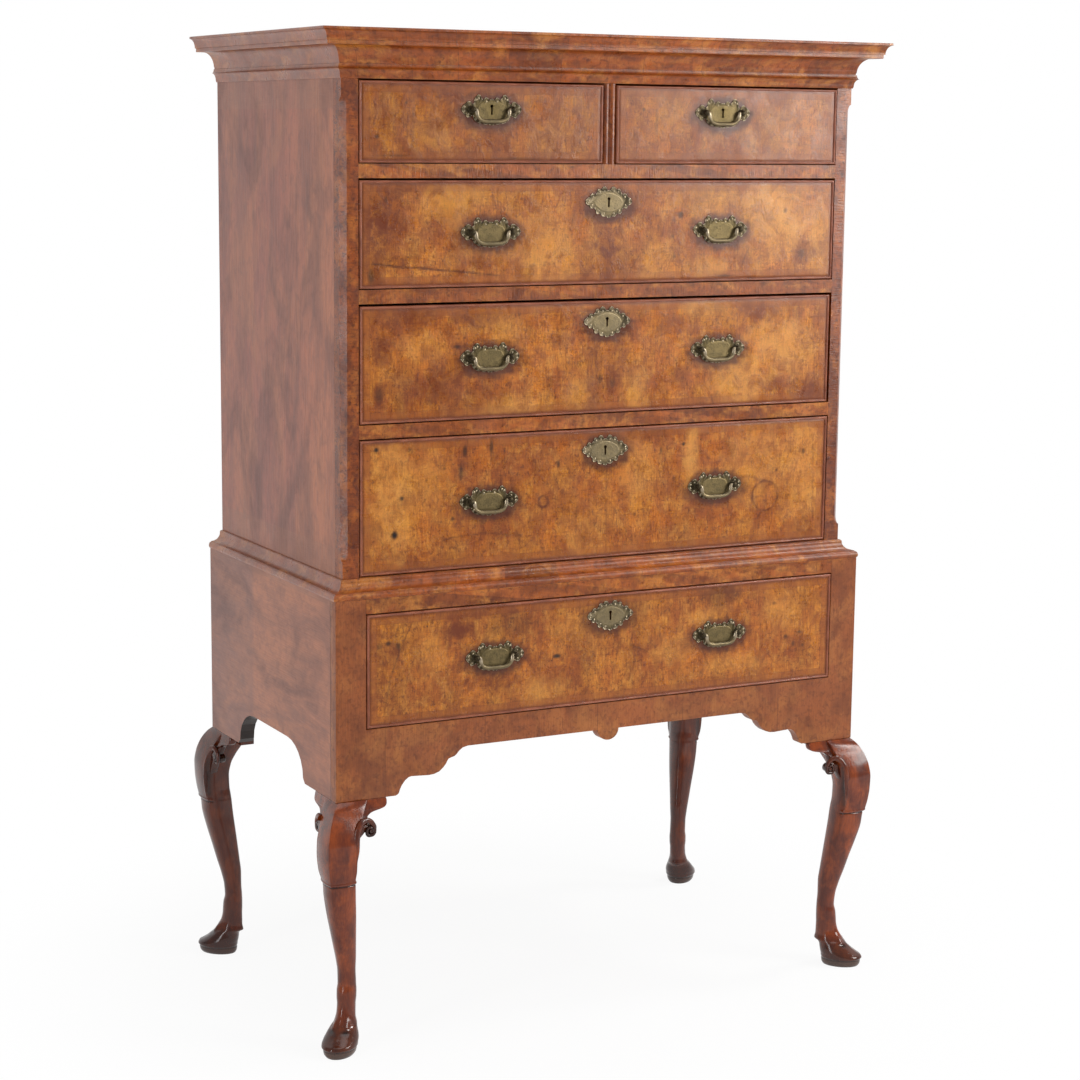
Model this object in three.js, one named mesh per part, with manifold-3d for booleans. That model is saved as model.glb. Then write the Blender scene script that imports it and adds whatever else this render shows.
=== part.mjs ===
// Walnut chest on stand, or highboy: an upper case of five drawers on a stand with one drawer and four legs.
// Lengths are millimetres. +X runs to the right along the front, -Y faces the viewer and +Z is up.
// The origin is on the floor, under the middle of the piece.
import * as THREE from "three";
import { mergeVertices } from "three/addons/utils/BufferGeometryUtils.js";
import Module from "manifold-3d";

const wasm = await Module();
wasm.setup();

// Driving sizes of the stand, which is a step wider and deeper than the case that it carries
const standSideStep = 23.5;
const standFrontStep = 26;
const legHeight = 424;
const standFrameHeight = 330;
const standStileWidth = 53;
const standTopRailHeight = 24;
const standTopRailDepth = 60;
const standFrontThickness = 22;
const standSideThickness = 26;
const standBackThickness = 22;
const standBackDrop = 16;
const apronHeight = 116;
const apronDrop = 69.5;
const pendantDrop = 19;
const pendantHalf = 20;
const archHalf = 145;
const archRise = 63.5;
const archShoulder = 68;
const archLift = 8;

// Driving sizes of the upper case
const caseWidth = 957;
const caseDepth = 544;
const caseSideThickness = 18;
const caseBackThickness = 12;
const caseTopThickness = 20;
const cornerPostWidth = 29;
const cornerPostDepth = 30;
const cantSize = 9;
const cantStop = 28;
const cantCurl = 14;
const railHeight = 22.5;
const railDepth = 60;
const baseRailHeight = 31;
const dustboardThickness = 12;
const dividerWidth = 23;
const dividerDepth = 24;
const dividerGuideThickness = 15;
const lowerDrawerHeight = 223;
const middleDrawerHeight = 192.5;
const upperDrawerHeight = 174.5;
const shortDrawerHeight = 131;

// Driving sizes of the cornice and of the moulding at the waist
const corniceHeight = 76.5;
const corniceReach = 50;
const waistReach = 26.5;
const waistRise = 30;
const topRailDepth = 22;

// Driving sizes of the drawers
const drawerFrontThickness = 20;
const drawerSideThickness = 10;
const drawerBottomThickness = 8;
const drawerBackGap = 17;
const drawerSideDrop = 8;
const beadWidth = 4;
const beadHeight = 2;
const runnerWidth = 26;
const runnerHeight = 18;

// Clearances
const glueLine = 0.2;
const restGap = 0.3;
const drawerGap = 1.5;
const pinClearance = 0.5;
const overrun = 5;
const overlap = 0.5;
const sameCornerShare = 1e-7;

// Driving sizes of the legs
const legThickness = 72;
const legPostWidth = 26;
const legPostDepth = 50;
const legPostSink = 22;
const kneeShift = 2;
const earReach = 90;
const earHeight = 84;
const earThickness = 14;
const earForward = 14;
const voluteRadius = 10;

// Driving sizes of the brasses
const plateWidth = 108;
const plateHeight = 50;
const plateThickness = 1.6;
const escutcheonWidth = 89;
const escutcheonHeight = 52;
const keyholeRadius = 2.7;
const keyholeSlotWidth = 3;
const keyholeLength = 16;
const keyholeDepth = 12;
const postSpacing = 72;
const postRadius = 4.5;
const postLength = 11;
const pinRadius = 1.5;
const pinSetback = 4.3;
const bailRadius = 2.8;
const bailDrop = 20;
const bailFlatWidth = 34;
const handleSpacing = 435;
const escutcheonDrop = 37.5;

// How far each drawer's handles stand above the middle of its opening
const shortHandleRise = 21.5;
const upperHandleRise = 2.5;
const middleHandleRise = 6.5;
const lowerHandleRise = 1;
const standHandleRise = 7;

// Counts that set how finely round shapes are faceted
const legSides = 14;
const rodSides = 6;
const bailSteps = 16;
const knuckleSteps = 4;
const curveSteps = 6;
const pendantSteps = 8;
const voluteSteps = 9;
const keyholeSteps = 8;

// The stand's drawer fills its frame between the top rail and the apron
const standDrawerHeight = standFrameHeight - standTopRailHeight - apronHeight;

// Heights of the levels, worked up from the floor
const waistLevel = legHeight + standFrameHeight;
const lowerLevel = waistLevel + baseRailHeight;
const middleLevel = lowerLevel + lowerDrawerHeight + railHeight;
const upperLevel = middleLevel + middleDrawerHeight + railHeight;
const shortLevel = upperLevel + upperDrawerHeight + railHeight;
const corniceLevel = shortLevel + shortDrawerHeight;
const topLevel = corniceLevel + corniceHeight;
const standDrawerLevel = legHeight + apronHeight;

// Planes of the stand and the case
const standWidth = caseWidth + 2 * standSideStep;
const standDepth = caseDepth + standFrontStep;
const standHalf = standWidth / 2;
const caseHalf = caseWidth / 2;
const backPlane = standDepth / 2;
const standFront = -standDepth / 2;
const caseFront = backPlane - caseDepth;
const openingHalf = caseHalf - cornerPostWidth;
const standOpeningHalf = standHalf - standStileWidth;
const caseTopLevel = topLevel - caseTopThickness;

const group = new THREE.Group();
group.name = "highboy";

// Finishes
const finishes = {
  veneer: { color: 0xb5713c, roughness: 0.32, metalness: 0 },
  sideVeneer: { color: 0x9a7468, roughness: 0.35, metalness: 0 },
  crossgrain: { color: 0xa05f33, roughness: 0.3, metalness: 0 },
  carved: { color: 0x6b3f30, roughness: 0.25, metalness: 0 },
  secondary: { color: 0xb08d62, roughness: 0.8, metalness: 0 },
  brass: { color: 0x8a7a4e, roughness: 0.4, metalness: 1 },
};

// Turns a closed geometry into a solid that can be cut and joined
function solid(geometry) {
  const bare = new THREE.BufferGeometry();
  bare.setAttribute("position", geometry.getAttribute("position"));
  bare.setIndex(geometry.getIndex());
  const merged = mergeVertices(bare, sameCornerShare * standWidth);
  return new wasm.Manifold(
    new wasm.Mesh({
      numProp: 3,
      vertProperties: new Float32Array(merged.getAttribute("position").array),
      triVerts: new Uint32Array(merged.getIndex().array),
    }),
  );
}

// Turns a solid back into a geometry that a mesh can show
function geometryOf(body) {
  const mesh = body.getMesh();
  const positions = new Float32Array(mesh.numVert * 3);
  for (let i = 0; i < mesh.numVert; i += 1) {
    const start = i * mesh.numProp;
    positions.set(mesh.vertProperties.subarray(start, start + 3), i * 3);
  }
  const geometry = new THREE.BufferGeometry();
  geometry.setAttribute("position", new THREE.BufferAttribute(positions, 3));
  geometry.setIndex(new THREE.BufferAttribute(new Uint32Array(mesh.triVerts), 1));
  geometry.computeVertexNormals();
  return geometry;
}

function joined(geometries) {
  const bodies = geometries.map(solid);
  return geometryOf(bodies.reduce((sum, body) => sum.add(body)));
}

function cut(geometry, tools) {
  const start = solid(geometry);
  return geometryOf(tools.reduce((left, tool) => left.subtract(solid(tool)), start));
}

// Turns every face round, after a shape has been mirrored
function reversedGeometry(geometry) {
  const count = geometry.getAttribute("position").count;
  const order = geometry.getIndex()?.array ?? Array.from({ length: count }, (_, i) => i);
  const turned = [];
  for (let i = 0; i < order.length; i += 3) {
    turned.push(order[i + 1], order[i], order[i + 2]);
  }
  geometry.setIndex(turned);
  geometry.computeVertexNormals();
  return geometry;
}

// Adds one named piece to the assembly
function addPiece(name, geometry, finish, place = [0, 0, 0]) {
  const mesh = new THREE.Mesh(geometry, new THREE.MeshStandardMaterial(finishes[finish]));
  mesh.name = name;
  mesh.position.set(...place);
  group.add(mesh);
  return mesh;
}

// A block between two opposite corners
function block(low, high) {
  const size = high.map((value, axis) => value - low[axis]);
  const middle = high.map((value, axis) => (value + low[axis]) / 2);
  return new THREE.BoxGeometry(...size).translate(...middle);
}

function shapeOf(points) {
  return new THREE.Shape(points.map(([x, y]) => new THREE.Vector2(x, y)));
}

function extrudeFlat(points, depth, holes = []) {
  const shape = shapeOf(points);
  for (const hole of holes) {
    shape.holes.push(new THREE.Path(hole.map(([x, y]) => new THREE.Vector2(x, y))));
  }
  return new THREE.ExtrudeGeometry(shape, { depth, bevelEnabled: false });
}

// An outline drawn in x and z, carried back along y from a front plane
function frontBoard(points, front, thickness, holes = []) {
  const board = extrudeFlat(points, thickness, holes);
  return board.rotateX(Math.PI / 2).translate(0, front + thickness, 0);
}

// An outline drawn in y and z, carried along x from a left plane
function sideBoard(points, left, width) {
  const turned = new THREE.Matrix4().makeBasis(
    new THREE.Vector3(0, 1, 0),
    new THREE.Vector3(0, 0, 1),
    new THREE.Vector3(1, 0, 0),
  );
  return extrudeFlat(points, width).applyMatrix4(turned).translate(left, 0, 0);
}

// An outline drawn in x and y, carried up from a floor level
function planBoard(points, level, height) {
  return extrudeFlat(points, height).translate(0, 0, level);
}

function mirrored(points) {
  const other = points.filter(([x]) => x > 0).map(([x, y]) => [-x, y]);
  return [...points, ...other.reverse()];
}

// Upper case

// Sides and corner posts stand on the stand and carry the top
const postBottom = waistLevel + glueLine;
const postTop = caseTopLevel - glueLine;

// Each corner post is canted on its outer edge, and the cant runs out in a curl at both ends
function cornerPostGeometry(side) {
  const inner = side * openingHalf;
  const outer = side * caseHalf;
  const [left, right] = inner < outer ? [inner, outer] : [outer, inner];
  const post = block([left, caseFront, postBottom], [right, caseFront + cornerPostDepth, postTop]);
  const low = waistLevel + waistRise + cantStop;
  const high = corniceLevel - cantStop;
  const middleOfCurl = low + cantCurl;
  const span = overrun * Math.SQRT2;
  const reach = cantSize / Math.SQRT2;
  const outline = [[0, low]];
  for (let i = 1; i <= curveSteps; i += 1) {
    const angle = (i / curveSteps) * (Math.PI / 2);
    outline.push([reach * Math.sin(angle), middleOfCurl - cantCurl * Math.cos(angle)]);
  }
  for (let i = 0; i < curveSteps; i += 1) {
    const angle = (i / curveSteps) * (Math.PI / 2);
    outline.push([reach * Math.cos(angle), high - cantCurl + cantCurl * Math.sin(angle)]);
  }
  outline.push([0, high], [-span, high], [-span, low]);
  // The cutter is drawn across the corner and swung round to it
  const across = cantSize * 2;
  const cutter = sideBoard(outline, -across, across * 2);
  cutter.rotateZ(side * (Math.PI / 4)).translate(outer, caseFront, 0);
  return cut(post, [cutter]);
}

for (const [word, side] of [["left", -1], ["right", 1]]) {
  addPiece("corner_post_" + word, cornerPostGeometry(side), "crossgrain");
  const inner = side * (caseHalf - caseSideThickness);
  const outer = side * caseHalf;
  const boardFront = caseFront + cornerPostDepth + glueLine;
  const length = backPlane - boardFront;
  const board = new THREE.BoxGeometry(caseSideThickness, length, postTop - postBottom);
  const place = [(inner + outer) / 2, boardFront + length / 2, (postTop + postBottom) / 2];
  addPiece("case_side_" + word, board, "sideVeneer", place);
}

// The back fits between the sides, the top lies over everything
const sideInner = caseHalf - caseSideThickness - glueLine;
const caseBackFront = backPlane - caseBackThickness;
const caseBack = new THREE.BoxGeometry(sideInner * 2, caseBackThickness, postTop - postBottom);
const caseBackPlace = [0, backPlane - caseBackThickness / 2, (postTop + postBottom) / 2];
addPiece("case_back", caseBack, "secondary", caseBackPlace);
const caseTop = new THREE.BoxGeometry(caseWidth, caseDepth, caseTopThickness);
const caseTopPlace = [0, (caseFront + backPlane) / 2, topLevel - caseTopThickness / 2];
addPiece("case_top", caseTop, "secondary", caseTopPlace);

// Each dustboard has a thick rail in front and a thin board behind, level on top
function dustboardGeometry(top, frontHeight) {
  const back = caseBackFront - glueLine;
  const rail = caseFront + railDepth;
  const postBack = caseFront + cornerPostDepth + glueLine;
  const railHalf = openingHalf - glueLine;
  const front = block([-railHalf, caseFront, top - frontHeight], [railHalf, rail, top]);
  const board = block([-sideInner, postBack, top - dustboardThickness], [sideInner, back, top]);
  return joined([front, board]);
}

addPiece("case_bottom", dustboardGeometry(lowerLevel, baseRailHeight - glueLine), "crossgrain");
addPiece("dustboard_lower", dustboardGeometry(middleLevel, railHeight), "crossgrain");
addPiece("dustboard_middle", dustboardGeometry(upperLevel, railHeight), "crossgrain");
addPiece("dustboard_upper", dustboardGeometry(shortLevel, railHeight), "crossgrain");

// The partition between the short drawers has a wide front and a thin guide behind
const dividerHalf = dividerWidth / 2;
const guideHalf = dividerGuideThickness / 2;
const dividerBack = caseFront + dividerDepth;
const dividerOutline = mirrored([
  [dividerHalf, caseFront],
  [dividerHalf, dividerBack],
  [guideHalf, dividerBack],
  [guideHalf, caseBackFront - glueLine],
]);
const dividerHeight = shortDrawerHeight - 2 * glueLine;
const divider = planBoard(dividerOutline, 0, dividerHeight);
addPiece("short_drawer_divider", divider, "crossgrain", [0, 0, shortLevel + glueLine]);

// Mouldings run round the front and both sides, with mitred corners
// A profile lists how far each point stands out from the faces that it wraps, and its height
function mitredMoulding(profile, half, front, back) {
  const stations = [
    (reach) => [-half - reach, back],
    (reach) => [-half - reach, front - reach],
    (reach) => [half + reach, front - reach],
    (reach) => [half + reach, back],
  ];
  const positions = [];
  for (const station of stations) {
    for (const [reach, level] of profile) positions.push(...station(reach), level);
  }
  const count = profile.length;
  const indices = [];
  for (let s = 0; s < stations.length - 1; s += 1) {
    for (let i = 0; i < count; i += 1) {
      const next = (i + 1) % count;
      const a = s * count + i;
      const b = s * count + next;
      const c = (s + 1) * count + next;
      const d = (s + 1) * count + i;
      indices.push(a, d, b, b, d, c);
    }
  }
  const outline = profile.map(([reach, level]) => new THREE.Vector2(reach, level));
  const last = (stations.length - 1) * count;
  for (const [i, j, k] of THREE.ShapeUtils.triangulateShape(outline, [])) {
    indices.push(i, j, k, last + i, last + k, last + j);
  }
  const geometry = new THREE.BufferGeometry();
  geometry.setAttribute("position", new THREE.Float32BufferAttribute(positions, 3));
  geometry.setIndex(indices);
  return geometry;
}

// Points on a quarter of an ellipse, from one end to the other
function quarter(from, to, hollow) {
  const points = [];
  for (let i = 0; i <= curveSteps; i += 1) {
    const angle = (i / curveSteps) * (Math.PI / 2);
    const along = hollow ? 1 - Math.cos(angle) : Math.sin(angle);
    const up = hollow ? Math.sin(angle) : 1 - Math.cos(angle);
    points.push([from[0] + (to[0] - from[0]) * along, from[1] + (to[1] - from[1]) * up]);
  }
  return points;
}

// The cornice: a bead, a deep hollow, a flat step and a spreading lip, as shares of reach and height
const beadReachShare = 0.17;
const beadFootShare = 0.1;
const beadCrownShare = 0.16;
const beadTopShare = 0.2;
const hollowFootShare = 0.1;
const hollowReachShare = 0.5;
const hollowTopShare = 0.62;
const stepReachShare = 0.77;
const stepTopShare = 0.72;
const lipReachShare = 0.81;
const lipTopShare = 0.965;
const corniceAt = (reachShare, riseShare) => [
  corniceReach * reachShare,
  corniceLevel + corniceHeight * riseShare,
];
const corniceProfile = [
  [glueLine, corniceLevel],
  corniceAt(beadReachShare, beadFootShare),
  corniceAt(beadReachShare, beadCrownShare),
  corniceAt(hollowFootShare, beadTopShare),
  ...quarter(
    corniceAt(hollowFootShare, beadTopShare),
    corniceAt(hollowReachShare, hollowTopShare),
    true,
  ).slice(1),
  corniceAt(stepReachShare, hollowTopShare),
  corniceAt(stepReachShare, stepTopShare),
  corniceAt(lipReachShare, stepTopShare),
  ...quarter(corniceAt(lipReachShare, stepTopShare), corniceAt(1, lipTopShare), true).slice(1),
  [corniceReach, topLevel],
  [glueLine, topLevel],
];
const corniceMoulding = mitredMoulding(corniceProfile, caseHalf, caseFront, backPlane);
const topRailHalf = openingHalf - glueLine;
const topRailBack = caseFront + topRailDepth;
const topRail = block(
  [-topRailHalf, caseFront - overlap, corniceLevel],
  [topRailHalf, topRailBack, postTop],
);
addPiece("cornice", joined([corniceMoulding, topRail]), "crossgrain");

// The waist moulding stands on the stand and hides the foot of the case
const waistFoot = waistLevel + glueLine;
const waistTop = waistLevel + waistRise;
const waistAt = (reachShare, riseShare) => [
  waistReach * reachShare,
  waistFoot + (waistTop - waistFoot) * riseShare,
];
const waistNoseShare = 0.13;
const waistStepShare = 0.36;
const waistStepReachShare = 0.8;
const waistCrownReachShare = 0.14;
const waistCrownShare = 0.92;
const waistProfile = [
  [glueLine, waistFoot],
  [waistReach, waistFoot],
  ...quarter(
    waistAt(1, waistNoseShare),
    waistAt(waistStepReachShare, waistStepShare),
    true,
  ),
  ...quarter(
    waistAt(waistStepReachShare, waistStepShare),
    waistAt(waistCrownReachShare, waistCrownShare),
    false,
  ).slice(1),
  waistAt(waistCrownReachShare, 1),
  [glueLine, waistTop],
];
addPiece("waist_moulding", mitredMoulding(waistProfile, caseHalf, caseFront, backPlane), "crossgrain");

// Stand

// Half of the front apron's lower edge, as shares of half the width and of the apron's drop
const apronShares = [
  [0.535, 0],
  [0.549, 0.03],
  [0.562, 0.09],
  [0.572, 0.17],
  [0.58, 0.22],
  [0.589, 0.235],
  [0.6, 0.262],
  [0.608, 0.35],
  [0.619, 0.455],
  [0.634, 0.55],
  [0.653, 0.592],
  [0.668, 0.6],
  [0.7, 0.585],
  [0.738, 0.575],
  [0.755, 0.645],
  [0.769, 0.78],
  [0.778, 0.9],
  [0.782, 0.95],
  [0.79, 1],
  [1, 1],
];
const apronLine = legHeight + glueLine + apronDrop;
const apronHalfEdge = apronShares.map(([across, down]) => [
  standHalf * across,
  apronLine - apronDrop * down,
]);
const pendant = [];
for (let i = 0; i <= pendantSteps; i += 1) {
  const angle = Math.PI * (i / pendantSteps);
  pendant.push([-pendantHalf * Math.cos(angle), apronLine - pendantDrop * Math.sin(angle)]);
}
const apronOutline = [
  ...apronHalfEdge.map(([x, z]) => [-x, z]).reverse(),
  ...pendant,
  ...apronHalfEdge,
  [standHalf, waistLevel],
  [standOpeningHalf, waistLevel],
  [standOpeningHalf, standDrawerLevel],
  [-standOpeningHalf, standDrawerLevel],
  [-standOpeningHalf, waistLevel],
  [-standHalf, waistLevel],
];
addPiece("front_apron", frontBoard(apronOutline, standFront, standFrontThickness), "veneer");

const railSpan = (standOpeningHalf - glueLine) * 2;
const standTopRail = new THREE.BoxGeometry(railSpan, standTopRailDepth, standTopRailHeight);
const standRailPlace = [0, standFront + standTopRailDepth / 2, waistLevel - standTopRailHeight / 2];
addPiece("stand_top_rail", standTopRail, "veneer", standRailPlace);

// The side's lower edge is a low arch with rounded shoulders
const sideFoot = legHeight + glueLine;
const sideFront = standFront + standFrontThickness + glueLine;
const archPoints = [];
for (let i = 0; i <= curveSteps; i += 1) {
  const angle = (i / curveSteps) * (Math.PI / 2);
  const along = archHalf - archShoulder * (1 - Math.cos(angle));
  archPoints.push([along, sideFoot + archLift + (archRise - archLift) * Math.sin(angle)]);
}
const archRight = [[archHalf + archLift, sideFoot], ...archPoints];
const sideOutline = [
  [sideFront, sideFoot],
  ...archRight.map(([y, z]) => [-y, z]),
  ...[...archRight].reverse(),
  [backPlane, sideFoot],
  [backPlane, waistLevel],
  [sideFront, waistLevel],
];
for (const [word, left] of [["left", -standHalf], ["right", standHalf - standSideThickness]]) {
  const board = sideBoard(sideOutline, 0, standSideThickness);
  addPiece("stand_side_" + word, board, "sideVeneer", [left, 0, 0]);
}

const standInner = standHalf - standSideThickness - glueLine;
const standBackFoot = legHeight + standBackDrop;
const standBack = new THREE.BoxGeometry(
  standInner * 2,
  standBackThickness,
  waistLevel - standBackFoot,
);
const standBackFront = backPlane - standBackThickness;
const standBackPlace = [0, backPlane - standBackThickness / 2, (waistLevel + standBackFoot) / 2];
addPiece("stand_back", standBack, "secondary", standBackPlace);

// Each runner carries one edge of the stand's drawer, and widens to a guide between the leg posts
const postFront = standFront + standFrontThickness + glueLine;
const postInner = standInner - legPostWidth;
const runnerInner = postInner - glueLine - runnerWidth;
const guideReach = postFront + legPostDepth + glueLine;
const runnerEnd = standBackFront - glueLine;
const runnerOutline = [
  [runnerInner, postFront],
  [postInner - glueLine, postFront],
  [postInner - glueLine, guideReach],
  [standInner, guideReach],
  [standInner, -guideReach],
  [postInner - glueLine, -guideReach],
  [postInner - glueLine, runnerEnd],
  [runnerInner, runnerEnd],
];
const runnerRight = planBoard(runnerOutline, 0, runnerHeight);
const runnerLeftOutline = runnerOutline.map(([x, y]) => [-x, y]).reverse();
const runnerLeft = planBoard(runnerLeftOutline, 0, runnerHeight);
const runnerPlace = [0, 0, standDrawerLevel - runnerHeight];
addPiece("stand_runner_left", runnerLeft, "secondary", runnerPlace);
addPiece("stand_runner_right", runnerRight, "secondary", runnerPlace);

// Legs

// Sections of the leg from the floor up, in its own diagonal frame
// Each row holds the height as a share of the leg's, then as shares of its thickness the outer face,
// the inner face and half the width, and last how square the section is
const legSectionShares = [
  [0, 0.4, -0.55, 0.33, 2],
  [0.012, 0.455, -0.575, 0.375, 2],
  [0.024, 0.465, -0.58, 0.4, 2],
  [0.031, 0.43, -0.575, 0.385, 2],
  [0.047, 0.345, -0.59, 0.405, 2],
  [0.071, 0.195, -0.615, 0.37, 2],
  [0.088, 0.085, -0.635, 0.33, 1.9],
  [0.099, 0.025, -0.68, 0.3, 1.8],
  [0.108, -0.02, -0.765, 0.275, 1.6],
  [0.13, -0.1, -0.74, 0.235, 1.6],
  [0.15, -0.17, -0.735, 0.215, 1.8],
  [0.18, -0.215, -0.73, 0.21, 1.9],
  [0.21, -0.23, -0.735, 0.226, 1.9],
  [0.232, -0.245, -0.735, 0.228, 1.9],
  [0.262, -0.285, -0.73, 0.213, 1.9],
  [0.31, -0.26, -0.715, 0.212, 1.8],
  [0.36, -0.185, -0.715, 0.235, 1.75],
  [0.42, -0.065, -0.675, 0.27, 1.7],
  [0.49, 0.065, -0.62, 0.312, 1.65],
  [0.56, 0.205, -0.565, 0.355, 1.55],
  [0.63, 0.325, -0.51, 0.385, 1.45],
  [0.668, 0.365, -0.48, 0.395, 1.45],
  [0.674, 0.405, -0.475, 0.415, 1.4],
  [0.69, 0.42, -0.465, 0.42, 1.4],
  [0.74, 0.485, -0.425, 0.46, 1.35],
  [0.79, 0.525, -0.415, 0.48, 1.35],
  [0.84, 0.535, -0.47, 0.485, 1.35],
  [0.885, 0.49, -0.6, 0.49, 1.3],
  [0.925, 0.4, -0.76, 0.49, 1.25],
  [0.955, 0.29, -0.88, 0.5, 1.2],
  [0.98, 0.16, -0.95, 0.5, 1.15],
  [1, 0, -1, 0.5, 1.05],
];

function legBodyGeometry() {
  const positions = [];
  for (const [rise, outShare, inShare, acrossShare, squareness] of legSectionShares) {
    const middle = (legThickness * (outShare + inShare)) / 2;
    const along = (legThickness * (outShare - inShare)) / 2;
    const across = legThickness * acrossShare;
    for (let i = 0; i < legSides; i += 1) {
      const angle = (2 * Math.PI * i) / legSides;
      const c = Math.cos(angle);
      const s = Math.sin(angle);
      const power = 2 / squareness;
      const x = middle + along * Math.sign(c) * Math.abs(c) ** power;
      const y = across * Math.sign(s) * Math.abs(s) ** power;
      positions.push(x, y, rise * legHeight);
    }
  }
  const indices = [];
  const rings = legSectionShares.length;
  for (let ring = 0; ring < rings - 1; ring += 1) {
    for (let i = 0; i < legSides; i += 1) {
      const next = (i + 1) % legSides;
      const a = ring * legSides + i;
      const b = ring * legSides + next;
      indices.push(a, b, b + legSides, a, b + legSides, a + legSides);
    }
  }
  const last = (rings - 1) * legSides;
  for (let i = 1; i < legSides - 1; i += 1) {
    indices.push(0, i + 1, i, last, last + i, last + i + 1);
  }
  const geometry = new THREE.BufferGeometry();
  geometry.setAttribute("position", new THREE.Float32BufferAttribute(positions, 3));
  geometry.setIndex(indices);
  return geometry;
}

// The ear beside the knee: a flat shelf, a hollow and a volute, as shares of its reach and height
const earShares = [
  [0.1, 0],
  [0.985, 0],
  [1, 0.1],
  [0.985, 0.17],
  [0.9, 0.21],
  [0.74, 0.215],
  [0.64, 0.26],
  [0.575, 0.33],
  [0.545, 0.42],
];
const earRootShares = [
  [0.46, 0.62],
  [0.36, 0.72],
  [0.28, 0.9],
  [0.2, 1],
  [0.1, 1],
];
const voluteReachShare = 0.59;
const voluteDropShare = 0.54;
const forwardDropShare = 0.5;
const forwardPower = 1.5;
const voluteStart = 0.72 * Math.PI;
const voluteTurn = 1.5 * Math.PI;
const earTop = legHeight - glueLine;

// The ear's outline, measured inwards from the corner of the stand
function earOutline() {
  const place = ([reach, drop]) => [earReach * reach, earTop - earHeight * drop];
  const centre = place([voluteReachShare, voluteDropShare]);
  const volute = [];
  for (let i = 0; i <= voluteSteps; i += 1) {
    const angle = voluteStart - voluteTurn * (i / voluteSteps);
    volute.push([
      centre[0] + voluteRadius * Math.cos(angle),
      centre[1] + voluteRadius * Math.sin(angle),
    ]);
  }
  return [...earShares.map(place), ...volute, ...earRootShares.map(place)].reverse();
}

// An ear lies against the frame at the top and comes forward with the knee further down
function earGeometry() {
  const ear = frontBoard(earOutline(), 0, earThickness);
  const position = ear.getAttribute("position");
  for (let i = 0; i < position.count; i += 1) {
    const drop = (earTop - position.getZ(i)) / (earHeight * forwardDropShare);
    const forward = earForward * Math.min(Math.max(drop, 0), 1) ** forwardPower;
    position.setY(i, position.getY(i) - forward);
  }
  return ear;
}

// The same shape with its x and y exchanged
function swappedGeometry(geometry) {
  const result = geometry.clone();
  const position = result.getAttribute("position");
  const from = geometry.getAttribute("position");
  for (let i = 0; i < position.count; i += 1) {
    position.setXYZ(i, from.getY(i), from.getX(i), from.getZ(i));
  }
  return reversedGeometry(result);
}

// The leg stands at the origin as the front left one does, with its corner at zero
function legGeometry(hasFrontEar) {
  // Its knee stands a little forward of the frame and a little in from the side
  const body = legBodyGeometry().rotateZ(-(3 * Math.PI) / 4).translate(kneeShift, -kneeShift, 0);
  const frontEar = earGeometry();
  const sideEar = swappedGeometry(frontEar);
  const post = block(
    [standSideThickness + glueLine, standFrontThickness + glueLine, legHeight - legPostSink],
    [
      standSideThickness + glueLine + legPostWidth,
      standFrontThickness + glueLine + legPostDepth,
      waistLevel - glueLine,
    ],
  );
  const parts = hasFrontEar ? [body, sideEar, frontEar] : [body, sideEar];
  const whole = solid(joined(parts));
  // The top is cut level just under the frame, and the post rises behind the boards
  const wide = legThickness + earReach;
  const cap = solid(block([-wide, -wide, earTop], [wide, wide, legHeight + overrun]));
  return geometryOf(whole.subtract(cap).add(solid(post)));
}

function mirrorGeometry(geometry, x, y) {
  const result = geometry.clone().scale(x, y, 1);
  return x * y < 0 ? reversedGeometry(result) : result;
}

const frontLeg = legGeometry(true);
const rearLeg = legGeometry(false);
addPiece("leg_front_left", frontLeg, "carved", [-standHalf, standFront, 0]);
addPiece("leg_front_right", mirrorGeometry(frontLeg, -1, 1), "carved", [standHalf, standFront, 0]);
addPiece("leg_rear_left", mirrorGeometry(rearLeg, 1, -1), "carved", [-standHalf, backPlane, 0]);
addPiece("leg_rear_right", mirrorGeometry(rearLeg, -1, -1), "carved", [standHalf, backPlane, 0]);

// Brasses

// Right half of each plate's outline, as shares of half its width and half its height
const plateShares = [
  [0, 0.68],
  [0.09, 0.78],
  [0.17, 0.68],
  [0.24, 0.6],
  [0.31, 0.72],
  [0.4, 0.92],
  [0.49, 0.84],
  [0.52, 0.62],
  [0.54, 0.36],
  [0.64, 0.36],
  [0.76, 0.5],
  [0.88, 0.36],
  [1, 0],
  [0.9, -0.26],
  [0.78, -0.48],
  [0.66, -0.46],
  [0.57, -0.42],
  [0.5, -0.66],
  [0.38, -0.84],
  [0.2, -0.92],
  [0.08, -1],
  [0, -1],
];
const escutcheonShares = [
  [0, 0.76],
  [0.12, 0.86],
  [0.21, 0.76],
  [0.34, 1],
  [0.44, 0.8],
  [0.52, 0.58],
  [0.66, 0.56],
  [0.76, 0.36],
  [0.88, 0.28],
  [1, 0.04],
  [0.9, -0.14],
  [0.82, -0.32],
  [0.68, -0.32],
  [0.58, -0.4],
  [0.52, -0.6],
  [0.42, -0.7],
  [0.3, -0.64],
  [0.16, -0.84],
  [0, -1],
];

function wholeOutline(shares, width, height) {
  const right = shares.map(([x, z]) => [(x * width) / 2, (z * height) / 2]);
  return mirrored(right).reverse();
}

// A keyhole: a round eye over a straight slot
function keyholeOutline() {
  const eye = keyholeLength / 2 - keyholeRadius;
  const half = keyholeSlotWidth / 2;
  const points = [[-half, -keyholeLength / 2], [half, -keyholeLength / 2]];
  const start = -Math.acos(half / keyholeRadius);
  const sweep = Math.PI - 2 * start;
  for (let i = 0; i <= keyholeSteps; i += 1) {
    const angle = start + (sweep * i) / keyholeSteps;
    points.push([keyholeRadius * Math.cos(angle), eye + keyholeRadius * Math.sin(angle)]);
  }
  return points;
}

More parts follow.
